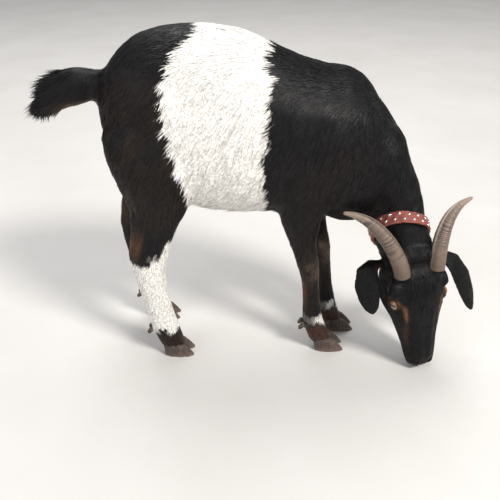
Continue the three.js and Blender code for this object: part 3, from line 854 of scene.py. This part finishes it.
def with_face(places, normals):
    """Nose bones, brow bones, cheeks, nostrils, lips and chin."""
    along, rise, left = head_coordinates(places)
    out = np.abs(left)
    on_head = (out < 62) & (along > -20) & (along < 240) & (rise < 30) & (rise > -110)
    front = fade(normals @ BROW, 0.2, 0.7)
    height = np.zeros(len(places))

    ridge = np.interp(along, *NOSE_RIDGES)
    height += 1.6 * hill(out, ridge, 4.5) * fade(along, 80, 105) * fade(along, 204, 190) * front
    height -= 0.8 * hill(out, 0, 4) * fade(along, 95, 115) * fade(along, 200, 185) * front
    height += 2.2 * hill(along, 42, 20) * hill(out, 22, 12) * front
    to_eye = (along - EYE_ALONG) ** 2 + (rise - EYE_RISE + 4) ** 2 + (out - EYE_OUT - 4) ** 2
    height += 3.4 * np.exp(-to_eye / 25**2)
    crest = hill(rise + 34, 0, 6) * fade(along, 82, 96) * fade(along, 142, 125)
    height += 1.8 * crest * fade(out, 22, 34)
    height += 3.0 * np.exp(-((along - 72) ** 2 + (rise + 66) ** 2) / 26**2) * fade(out, 20, 34)
    height -= 2.0 * np.exp(-((along - 118) ** 2 + (rise + 52) ** 2) / 18**2) * fade(out, 15, 26)

    slant = np.stack([along - NOSTRIL_ALONG, out - NOSTRIL_OUT], 1)
    length_way, width_way = (slant @ way for way in NOSTRIL_WAYS)
    upper = fade(rise, -47, -40)
    lengths, widths = length_way / NOSTRIL_HALF_LENGTH, width_way / NOSTRIL_HALF_WIDTH
    pit = np.exp(-((lengths**2 + widths**2) ** 1.4)) * upper
    wing = hill(width_way, 4.2, 2.2) * hill(lengths, 0, 1.2) * upper
    height += 1.5 * wing - 6.0 * pit
    height -= 1.5 * hill(out, 0, 1.5) * fade(along, 203, 212) * fade(rise, -54, -48)

    mouth = np.interp(along, *MOUTH_LINE)
    height -= 2.6 * hill(rise - mouth, 0, 1.5) * fade(along, 156, 170)
    height += 1.0 * hill(rise - mouth, 4.5, 2.6) * fade(along, 166, 185)
    height += 0.8 * hill(rise - mouth, -5.0, 2.6) * fade(along, 172, 190)
    chin = fade(mouth - rise, 0, 6) * fade(along, 200, 224)
    places = places + normals * (height * on_head * MM)[:, None]
    return places - NOSE * (5.0 * chin * on_head * MM)[:, None]


SKIN_ROUNDS, THIN_HELD = 20, 0.75  # smoothing, and how little of it reaches the legs and tail
SOLE_HEIGHTS = 0.004, 0.03  # the coat's depth starts between these
FINER_PASSES = (24, True), (20, False)  # reach round the eyes, and whether the muzzle is divided too


def near_eyes(places, reach):
    return np.any([norm(places - eye[0]) < reach * MM for eye in EYES.values()], axis=0)


def near_muzzle(places):
    along, rise, left = head_coordinates(places)
    return (along > 150) & (along < 240) & (np.abs(left) < 45) & (rise > -90) & (rise < 10)


def make_skin():
    mesh = copied_nodes("skin", FLESH + FILLERS, 3, bare_shape)
    set_vertices(mesh, zoomed(vertices_of(mesh)))
    skin = remeshed("skin", mesh, SKIN_VOXEL)
    mesh = skin.data
    places = zoomed(vertices_of(mesh), back=True)
    thin = pulls(places) @ ANCHOR_KINDS[:, [LEG, TAIL]].sum(1)
    places = relaxed(mesh, places, SKIN_ROUNDS, push=0, weight=1 - THIN_HELD * thin[:, None])
    set_vertices(mesh, places)
    depth = pulls(places) @ ANCHOR_COATS[:, DEPTH] * MM
    depth = depth * fade(places[:, 2], *SOLE_HEIGHTS)
    set_vertices(mesh, places - normals_of(mesh) * depth[:, None])
    set_vertices(mesh, relaxed(mesh, vertices_of(mesh), 4))

    with edited(mesh) as finer:
        for reach, with_muzzle in FINER_PASSES:
            places = np.array([v.co[:] for v in finer.verts])
            wanted = near_eyes(places, reach) | (near_muzzle(places) & with_muzzle)
            chosen = [e for e in finer.edges if wanted[e.verts[0].index] and wanted[e.verts[1].index]]
            bmesh.ops.subdivide_edges(finer, edges=chosen, cuts=1, use_grid_fill=True)
            finer.verts.index_update()
        bmesh.ops.triangulate(finer, faces=[f for f in finer.faces if len(f.verts) > 4])

    normals = normals_of(mesh)
    set_vertices(mesh, with_face(with_relief(vertices_of(mesh), normals), normals))
    set_vertices(mesh, with_lids(relaxed(mesh, vertices_of(mesh), 2)))
    return skin


def skin_bareness(places):
    """Where the skin has no hair: on the nose pad and the lids' rims."""
    along, rise, left = head_coordinates(places)
    bare = fade(along, 203, 212) * fade(rise, -64, -56) * (np.abs(left) < 32) * (along < 240)
    for side in SIDES:
        distance, _, edge, _ = lid_opening(places, side)
        bare = np.maximum(bare, fade(edge, 1.5, 1.15) * (distance < 17 * MM))
    return bare


skin = make_skin()
skin_mesh = skin.data
skin_places = vertices_of(skin_mesh)
bare = skin_bareness(skin_places)
# The skin's hair is 0.8 as dark as the coat's, as painted shade down between the tufts; the bare parts are a
# slightly paler black.
set_hair(skin_mesh, blended(coat_colours(skin_places, pulls(skin_places)) * 0.8, BLACK * 1.3, bare))
set_attribute(skin_mesh, "bare", bare)
finish_piece(skin, "coat", *FLESH, material=SKIN)

# ---- Horns ----
HORN = horn_material()
HORN_RINGS, HORN_AROUND = 260, 40
HORN_BURIED = 0.10  # share of the horn's path that lies inside the skull
RIDGE_SPACING = 0.0034
COARSE_RIDGE = 4.6  # fine ridges to each coarse one
KEEL_ANGLE = math.radians(80)  # round the horn from the front, towards its inner edge
HORN_SQUARENESS = 2 / 2.2
HORN_TIP = 0.0008


def make_horn(side):
    """A horn drawn along its path, with fine growth ridges and a keel along its inner front edge."""
    shares = HORN_BURIED + (1 - HORN_BURIED) * (1 - np.cos(np.linspace(0.35, 1, HORN_RINGS) * math.pi)) / 2
    shares = np.sort(np.r_[np.linspace(0.05, shares[0], 30)[:-1], shares])[:HORN_RINGS]
    rows = curve(HORN_ROWS[side], shares)
    middle, half = rows[:, :3], rows[:, 3:]
    way = unit(np.gradient(middle, axis=0))
    out_of_face = unit(BROW - way * (way @ BROW)[:, None])
    inwards = unit(np.cross(way, out_of_face)) * SIDES[side]
    inwards *= np.sign(inwards @ LEFT * -SIDES[side])[:, None]
    length = np.r_[0, np.cumsum(norm(np.diff(middle, axis=0)))][:, None]
    end = np.sqrt(np.clip((1.001 - shares) / 0.03, 0.001, 1))[:, None]
    angles = np.linspace(0, TURN, HORN_AROUND, endpoint=False)
    across, over = (np.sign(turn) * np.abs(turn) ** HORN_SQUARENESS
                    for turn in (np.cos(angles), np.sin(angles)))

    keel = hill(np.angle(np.exp(1j * (angles - KEEL_ANGLE))), 0, 0.22)
    groove = hill(np.angle(np.exp(1j * (angles - KEEL_ANGLE + 0.42))), 0, 0.15)
    phase = length * (1 + 0.06 * np.sin(length * 130)) / RIDGE_SPACING * TURN
    wobble = 0.9 * np.sin(angles * 2 + 1.0) + 0.5 * np.sin(angles * 3)
    ring = 0.5 + 0.5 * np.cos(phase + wobble)
    coarse = 0.5 + 0.5 * np.cos(phase / COARSE_RIDGE + wobble * 0.6)
    strength = (fade(shares, 0.96, 0.66) * (0.75 + 0.25 * fade(shares, 0.22, 0.45)))[:, None]
    ridge = (0.55 * ring + 0.40 * coarse - 0.45) * (1 - 0.6 * keel)
    rise = (ridge + 1.4 * keel - 0.7 * groove) * strength * MM
    points = middle[:, None] + out_of_face[:, None] * (across * half[:, :1] * end)[..., None]
    points = points + inwards[:, None] * (over * half[:, 1:] * end)[..., None]
    radial = unit(points - middle[:, None])
    points = points + radial * (rise * (end * np.clip(half[:, :1] / (18 * MM), 0.15, 1)))[..., None]

    name = f"horn_{side}_keratin"
    vertices = np.concatenate([points.reshape(-1, 3), middle[:1], middle[-1:] + way[-1:] * HORN_TIP])
    mesh = closed_mesh(name, vertices, tube_faces(HORN_RINGS, HORN_AROUND))
    # Painted shade in the grooves between the ridges and beside the keel; the keel itself is painted paler as a
    # highlight
    painted_groove_shade = (0.8 * ring + 0.2 * coarse) * (1 - 0.7 * groove)
    set_attribute(mesh, "along", np.r_[np.repeat(shares, HORN_AROUND), 0, 1])
    set_attribute(mesh, "ring", np.r_[(1 - (1 - painted_groove_shade) * strength).ravel(), 1, 1])
    set_attribute(mesh, "keel", np.r_[(keel * strength).ravel(), 0, 0])
    finish_piece(new_object(name, mesh, HORN), "horn", f"horn_{side}")


for side in SIDES:
    make_horn(side)

# ---- Hooves ----
HOOF = hoof_material()
HOOF_VOXEL, HOOF_ROUNDS = 0.0013, 12
GROWTH_LINE = 0.0034


def make_claw(node):
    """A claw on the CAD claw's shape, with softened edges, growth lines and a slightly chipped rim."""
    piece = remeshed(f"{node}_keratin", copied_nodes(node, [node], 1), HOOF_VOXEL)
    mesh = piece.data
    places = relaxed(mesh, vertices_of(mesh), HOOF_ROUNDS)
    set_vertices(mesh, places)
    normals = normals_of(mesh)
    wall = fade(np.abs(normals[:, 2]), 0.92, 0.7)
    lines = np.sin(places[:, 2] / GROWTH_LINE * TURN + 1.5 * waves(places, 0.03, 8))
    chips = waves(places, 0.006, 9) * fade(places[:, 2], 0.006, 0.0)
    places = places + normals * ((0.22 * lines + 0.25 * chips) * wall * MM)[:, None]
    if node in CLAWS:
        places[:, 2] = np.maximum(places[:, 2], 0.0)
    set_vertices(mesh, places)
    finish_piece(piece, "hoof", node, material=HOOF)


for node in CLAWS + DEWCLAWS:
    make_claw(node)

# ---- Eyes ----
EYE = eye_material()
EYE_RINGS, EYE_AROUND = 48, 64
CORNEA_ANGLE = math.radians(42)
CORNEA_BULGE = 0.055


def make_eye(side):
    """Eyeball with a raised clear front."""
    middle, looks, _, _ = EYES[side]
    # A goat's pupil stays level with the ground however the head hangs
    level = unit(np.cross(UP, looks))
    angles = np.linspace(0.02, math.pi - 0.02, EYE_RINGS)
    turns = np.linspace(0, TURN, EYE_AROUND, endpoint=False)
    radius = EYE_RADIUS * MM * (1 + CORNEA_BULGE * fade(angles, CORNEA_ANGLE, CORNEA_ANGLE * 0.35))
    forward = np.cos(angles)[:, None] * np.ones(EYE_AROUND)
    spread = np.sin(angles)[:, None]
    gaze = np.stack([spread * np.cos(turns), spread * np.sin(turns), forward], -1)
    points = middle + (gaze @ np.stack([level, np.cross(looks, level), looks])) * radius[:, None, None]
    ends = np.stack([middle + looks * radius[0], middle - looks * radius[-1]])
    vertices = np.concatenate([points.reshape(-1, 3), ends])
    mesh = closed_mesh(f"eyeball_{side}", vertices, tube_faces(EYE_RINGS, EYE_AROUND))
    set_attribute(mesh, "gaze", np.concatenate([gaze.reshape(-1, 3), [[0, 0, 1], [0, 0, -1]]]))
    finish_piece(new_object(f"eyeball_{side}", mesh, EYE), "eye", f"eye_{side}")


for side in SIDES:
    make_eye(side)

# ---- Collar ----
COLLAR_VOXEL, COLLAR_ROUNDS = 0.0014, 23
COLLAR_HALF_WIDTH = 0.0100
STUD_RADIUS = 2.5 * MM
STUD_HEIGHT = 1.9 * MM
STUD_ROW_OFFSET = 0.46  # of the band's half width, either side of its middle line
STUD_COUNT = 20
STUD_AROUND = 18
STUD_PROFILE = [(1.12, -0.4), (1.16, 0.02), (1.04, 0.10), (0.98, 0.22),  # radius and height, for a stud's own
                (0.90, 0.46), (0.74, 0.70), (0.50, 0.88), (0.22, 0.98)]

collar = remeshed("collar_band", copied_nodes("collar_band", ["collar"], 3), COLLAR_VOXEL)
collar_mesh = collar.data
collar_places = relaxed(collar_mesh, vertices_of(collar_mesh), COLLAR_ROUNDS)
collar_middle = collar_places.mean(0)
# The band's axis is the direction in which it reaches least
collar_axis = np.linalg.svd(collar_places - collar_middle, full_matrices=False)[2][2]
collar_axis *= np.sign(collar_axis[2])
set_vertices(collar_mesh, collar_places)
edge_wear = fade(np.abs(normals_of(collar_mesh) @ collar_axis), 0.35, 0.75)
set_attribute(collar_mesh, "edge", edge_wear * (0.55 + 0.45 * waves(collar_places, 0.02, 10)))
finish_piece(collar, "collar", "collar", material=leather_material())


def tree_of(mesh):
    return BVHTree.FromPolygons([Vector(p) for p in vertices_of(mesh)], [p.vertices[:] for p in mesh.polygons])


collar_tree = tree_of(collar_mesh)
collar_start = unit(np.cross(collar_axis, FACING))


def stud_points(turn, offset):
    """Points of a stud on the band's outer face, so far round it and along its axis: rings, then ends."""
    out = collar_start * math.cos(turn) + np.cross(collar_axis, collar_start) * math.sin(turn)
    start = collar_middle + collar_axis * offset + out * 0.2
    place, way = (np.array(v) for v in collar_tree.ray_cast(Vector(start), Vector(-out))[:2])
    first = unit(np.cross(way, np.array([0.3, 0.5, 0.81])))
    turns = np.linspace(0, TURN, STUD_AROUND, endpoint=False)
    ring = first * np.cos(turns)[:, None] + np.cross(way, first) * np.sin(turns)[:, None]
    profile = np.array(STUD_PROFILE) * (STUD_RADIUS, STUD_HEIGHT)
    rows = [place + ring * radius + way * height for radius, height in profile]
    return np.concatenate([*rows, *([place + way * height] for height in profile[[0, -1], 1])])


studs = [stud_points((step + row / 2) * TURN / STUD_COUNT, offset * COLLAR_HALF_WIDTH)
         for step in range(STUD_COUNT) for row, offset in ((0, STUD_ROW_OFFSET), (1, -STUD_ROW_OFFSET))]
stud_faces = [tuple(index * len(studs[0]) + corner for corner in face) for index in range(len(studs))
              for face in tube_faces(len(STUD_PROFILE), STUD_AROUND)]
studs = closed_mesh("collar_studs", np.concatenate(studs), stud_faces)
finish_piece(new_object("collar_studs", studs, metal_material()), "stud")

# ---- Coat: thin closed tufts, rooted in the skin and laid along it ----
TUFT_RINGS = (0.0, 0.34, 0.70)  # shares of a tuft's length that have a ring; the tip is a point
RING_WIDTHS = (0.55, 1.0, 0.72)
SIDE_SHADING = 0.5  # how far a tuft's shading turns over at its sides
TIP_PALER = np.repeat([1.0, 1.05, 1.14, 1.30], (3, 3, 3, 1))
ROOT_DEPTH, LIFT = 0.3 * MM, 0.25 * MM
UV_PATCH = 0.0030
TUFT_SHARE, TUFT_WIDER = ((1.0, 1.0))
FLOOR_CLEARANCE = 0.0006
COLLAR_RADIUS = 0.09
EYE_CLEARANCE, DEWCLAW_CLEARANCE = 18 * MM, 5 * MM
NOSE_PAD = (206, -62, 30), (196, -52, 20)  # least distance down the face, least rise, half width
TUFT_FACES = [(0, 1, 2)]
for start in (0, 3):
    for corner, after in ((0, 1), (1, 2), (2, 0)):
        TUFT_FACES += [(start + corner, start + 3 + corner, start + 3 + after),
                       (start + corner, start + 3 + after, start + after)]
TUFT_FACES = np.array(TUFT_FACES + [(6, 9, 7), (7, 9, 8), (8, 9, 6)])

random = np.random.default_rng(20260)
skin_tree = tree_of(skin_mesh)


def on_skin(places):
    """Nearest places on the skin, and its outward directions there."""
    found, normals = np.empty_like(places), np.empty_like(places)
    for index, place in enumerate(places):
        found[index], normals[index] = skin_tree.find_nearest(place)[:2]
    return found, normals


def unwrapped(name, faces):
    """A copy of some of the skin's faces, laid flat by Blender: corners' places, directions and map places."""
    source = bmesh.new()
    source.from_mesh(skin_mesh)
    source.faces.ensure_lookup_table()
    keep = set(faces.tolist())
    bmesh.ops.delete(source, geom=[f for f in source.faces if f.index not in keep], context="FACES")
    bmesh.ops.triangulate(source, faces=source.faces)
    mesh = bpy.data.meshes.new(name)
    source.to_mesh(mesh)
    source.free()
    piece = new_object(name, mesh)
    mesh.uv_layers.new(name="flat")
    bpy.context.view_layer.objects.active = piece
    piece.select_set(True)
    bpy.ops.object.mode_set(mode="EDIT")
    bpy.ops.mesh.select_all(action="SELECT")
    bpy.ops.uv.smart_project(angle_limit=1.15, island_margin=0.004, scale_to_bounds=True)
    bpy.ops.object.mode_set(mode="OBJECT")
    flat = read(mesh.uv_layers["flat"].uv, "vector", 2).astype(float)
    corners = read(mesh.loops, "vertex_index", 1, np.int32).reshape(-1, 3)
    places, normals = vertices_of(mesh), normals_of(mesh)
    bpy.data.objects.remove(piece)
    bpy.data.meshes.remove(mesh)
    return places[corners], normals[corners], flat.reshape(-1, 3, 2)


def clear_of_other_pieces(roots):
    """Which roots aren't under a horn, hoof or collar, in an eye's opening, or on the nose pad."""
    free = roots[:, 2] > CORONET
    for side in SIDES:
        middle, share, _ = nearest_on(HORN_LINES[side], roots)
        half = curve(HORN_ROWS[side], share)[:, 3:].mean(1)
        free &= (norm(roots - middle) > half * 1.02) | (share < 0.02)
        distance, _, edge, _ = lid_opening(roots, side)
        free &= (edge > 1.35) | (distance > EYE_CLEARANCE)
    for node in DEWCLAWS:
        free &= norm(roots - np.array(box_centre(node))) > DEWCLAW_CLEARANCE
    offset = roots - collar_middle
    height = offset @ collar_axis
    around = norm(offset - height[:, None] * collar_axis)
    free &= (np.abs(height) > COLLAR_HALF_WIDTH * 0.8) | (around > COLLAR_RADIUS)
    along, rise, left = head_coordinates(roots)
    for least, lowest, half in NOSE_PAD:
        free &= (along < least) | (along > 240) | (rise < lowest) | (np.abs(left) > half)
    return free


def scatter(name, faces):
    """Roots spread over some of the skin's faces, as thickly as the coat there needs."""
    corners, normals, flat = unwrapped(name, faces)
    middles = corners.mean(1)
    area = norm(np.cross(corners[:, 1] - corners[:, 0], corners[:, 2] - corners[:, 0])) / 2
    coat = pulls(middles) @ ANCHOR_COATS
    wanted = area * coat[:, COVER] / (coat[:, LENGTH] * coat[:, WIDTH] * MM * MM) * TUFT_SHARE
    wanted = wanted * (1 + 2.2 * poll_parting(middles))
    count = int(wanted.sum())
    chosen = random.choice(len(area), count, p=wanted / wanted.sum())
    first, second = np.sqrt(random.random(count)), random.random(count)
    weights = np.stack([1 - first, first * (1 - second), first * second], 1)[:, :, None]
    roots, ways, places = ((values[chosen] * weights).sum(1) for values in (corners, normals, flat))
    free = clear_of_other_pieces(roots)
    return roots[free], unit(ways)[free], places[free]


def comb(roots, normals, pull):
    """How each tuft lies: its way, the way across it, its bend, length, width, rise, looseness and peak."""
    count = len(roots)
    length, width, rise, _, _, loose, peak = (pull @ ANCHOR_COATS).T
    lie, kinds = lie_of_coat(roots, pull)
    way = unit(lie - normals * (lie * normals).sum(1)[:, None])
    across = np.cross(way, normals)

    # Locks lean together, and each tuft a little its own way
    parting = poll_parting(roots)
    swirl = 0.16 * waves(roots, 0.045, 11) + 0.16 * waves(roots, 0.018, 12) + random.normal(0, 0.10, count)
    swirl = swirl + kinds[:, TOPKNOT] * (0.75 * waves(roots, 0.022, 13) + random.normal(0, 0.08, count))
    swirl = swirl + parting * random.normal(0, 0.5, count)
    swirl = swirl + kinds[:, TAIL] * random.normal(0, 0.16, count)
    way = unit(way * np.cos(swirl)[:, None] + across * np.sin(swirl)[:, None])
    bend = random.normal(0, 0.10, count) + kinds[:, TOPKNOT] * 0.5 * waves(roots, 0.02, 14)

    length = length * MM * random.uniform(0.70, 1.18, count) * (1 + 0.12 * waves(roots, 0.03, 15))
    near_eye = np.min([0.42 + 0.58 * fade(norm(roots - eye[0]), 0.014, 0.030)
                       for eye in EYES.values()], axis=0)
    length = length * (1 - 0.4 * parting) * near_eye
    width = width * MM * random.uniform(0.75, 1.2, count) * TUFT_WIDER * np.sqrt(near_eye)
    rise = rise * random.uniform(0.4, 1.7, count) * (1 + 0.5 * waves(roots, 0.025, 16))
    band = np.abs((roots - collar_middle) @ collar_axis) < COLLAR_HALF_WIDTH + length
    band &= norm(roots - collar_middle) < COLLAR_RADIUS + 5 * MM
    rise = np.where(band, rise * 0.3, rise)
    return way, np.cross(way, normals), *(v[:, None] for v in (bend, length, width, rise, loose, peak))


def grow_coat(name, faces):
    """One piece of the coat, over some of the skin's faces."""
    roots, normals, flat = scatter(name, faces)
    pull = pulls(roots)
    way, across, bend, length, width, rise, loose, peak = comb(roots, normals, pull)
    points, rights, ups = [], [], []
    for share in (*TUFT_RINGS, 1.0):
        place, up = roots - normals * ROOT_DEPTH, normals
        if share:
            reach = length * share
            guess = roots + way * reach + across * (bend * reach * share)
            hanging = guess + normals * (rise * length * share)
            found, up = on_skin(guess)
            laid = found + up * (LIFT + rise * length * share**1.3)
            place = laid + (hanging - laid) * loose
            up = unit(up + (normals - up) * loose)
        place[:, 2] = np.maximum(place[:, 2], FLOOR_CLEARANCE)
        points.append(place)
        ups.append(up)
        rights.append(unit(np.cross(way, up)))

    corners, shades, maps = [], [], []
    for place, right, up, share, part in zip(points, rights, ups, TUFT_RINGS, RING_WIDTHS):
        half = width * part / 2
        corners += [place - right * half, place + right * half, place + up * half * 2 * peak]
        shades += [unit(up - right * SIDE_SHADING), unit(up + right * SIDE_SHADING), up]
        maps += [flat + np.array([sideways, share - 0.5]) * UV_PATCH for sideways in (-0.5, 0.5, 0.0)]
    corners.append(points[-1])
    shades.append(ups[-1])
    maps.append(flat + np.array([0.0, 0.5]) * UV_PATCH)
    corners, shades, maps = (np.stack(v, 1).reshape(-1, v[0].shape[1]) for v in (corners, shades, maps))
    indices = (np.arange(len(roots))[:, None, None] * len(TIP_PALER) + TUFT_FACES).ravel()

    mesh = bpy.data.meshes.new(name)
    mesh.vertices.add(len(corners))
    mesh.vertices.foreach_set("co", corners.astype(np.float32).ravel())
    mesh.loops.add(len(indices))
    mesh.loops.foreach_set("vertex_index", indices.astype(np.int32))
    mesh.polygons.add(len(indices) // 3)
    mesh.polygons.foreach_set("loop_start", np.arange(0, len(indices), 3, dtype=np.int32))
    layer = mesh.uv_layers.new(name="OFBake")
    layer.uv.foreach_set("vector", np.clip(maps, 0, 1)[indices].astype(np.float32).ravel())
    mesh.update(calc_edges=True)

    tone = random.uniform(0.72, 1.3, len(roots))[:, None]
    colours = coat_colours(points[1], pull)
    pale = fade(colours[:, 1], 0.1, 0.6)[:, None]
    colours = colours * (1 + (tone - 1) * (1 - 0.65 * pale))
    set_hair(mesh, np.clip(colours[:, None] * TIP_PALER[:, None], 0, 0.95).reshape(-1, 3))
    smooth_shading(mesh)
    mesh.normals_split_custom_set_from_vertices(shades)
    finish_piece(new_object(name, mesh, COAT), "coat")


def coat_regions():
    """Which piece of the coat each of the skin's faces belongs to."""
    centres = read(skin_mesh.polygons, "center", 3).astype(float)
    kind = (pulls(centres) @ ANCHOR_KINDS).argmax(1)
    x, y, _ = drawn(centres).T
    parts = {
        "neck": kind == NECK, "tail": kind == TAIL, "ears": (kind == EAR_RIGHT) | (kind == EAR_LEFT),
        "head": (kind == HEAD) | (kind == TOPKNOT), "foreleg": (kind == LEG) & (x > -50), "hindleg": kind == LEG,
        "rump": x < -100, "belt": x < 20,
    }
    part = np.select(list(parts.values()), list(parts), "shoulder")
    on_left = np.where(part == "head", head_coordinates(centres)[2] > 0, y > 0)
    side = np.where(np.isin(part, ("neck", "tail", "ears")), "", np.where(on_left, "_left", "_right"))
    return np.char.add(np.char.add("coat_", part), side)


regions = coat_regions()
for region in np.unique(regions).tolist():
    grow_coat(region, np.where(regions == region)[0])

# ---- Camera, floor and lights ----
FLOOR_HALF, FLOOR_DROP = 6.0, 0.0004
# Each light: place, height of what it points at, size, power and colour
LIGHTS = {
    "key": ((2.7, -2.6, 3.9), 0.3, 1.3, 265, (1.0, 0.97, 0.93)),
    "fill": ((-3.4, -2.9, 2.3), 0.3, 3.2, 50, (0.92, 0.96, 1.0)),
    "top": ((-0.5, 1.6, 4.0), 0.4, 2.4, 95, (1, 1, 1)),
}
WORLD_COLOUR, WORLD_STRENGTH = (0.90, 0.91, 0.93, 1), 0.52

camera_data = bpy.data.cameras.new("camera")
camera_data.lens = 43.2
camera_data.sensor_width = 36
camera = new_object("camera", camera_data)
camera.location = at(0, -970, 750)
camera.rotation_euler = (math.radians(60), 0, 0)
bpy.context.scene.camera = camera

floor_corners = [(x * FLOOR_HALF, y * FLOOR_HALF, -FLOOR_DROP)
                 for x, y in ((-1, -1), (1, -1), (1, 1), (-1, 1))]
plaster = Look("floor_plaster")
speckle = plaster.ramp(plaster.noise(3, 4), 0.3, 0.7, (0.60, 0.58, 0.555), (0.65, 0.632, 0.61))
new_object("floor", mesh_from("floor", floor_corners, [(0, 1, 2, 3)]), plaster.finished(speckle, 0.8))

for name, (place, aim, size, power, colour) in LIGHTS.items():
    data = bpy.data.lights.new(name, "AREA")
    data.shape, data.size, data.energy, data.color = "DISK", size, power, colour
    light = new_object(name, data)
    light.location = place
    light.rotation_euler = (Vector((0.0, 0.0, aim)) - Vector(place)).to_track_quat("-Z", "Y").to_euler()

bpy.context.scene.view_settings.view_transform = "Standard"
world = bpy.data.worlds.new("studio")
world.use_nodes = True
background = world.node_tree.nodes["Background"].inputs
background["Color"].default_value, background["Strength"].default_value = WORLD_COLOUR, WORLD_STRENGTH
bpy.context.scene.world = world
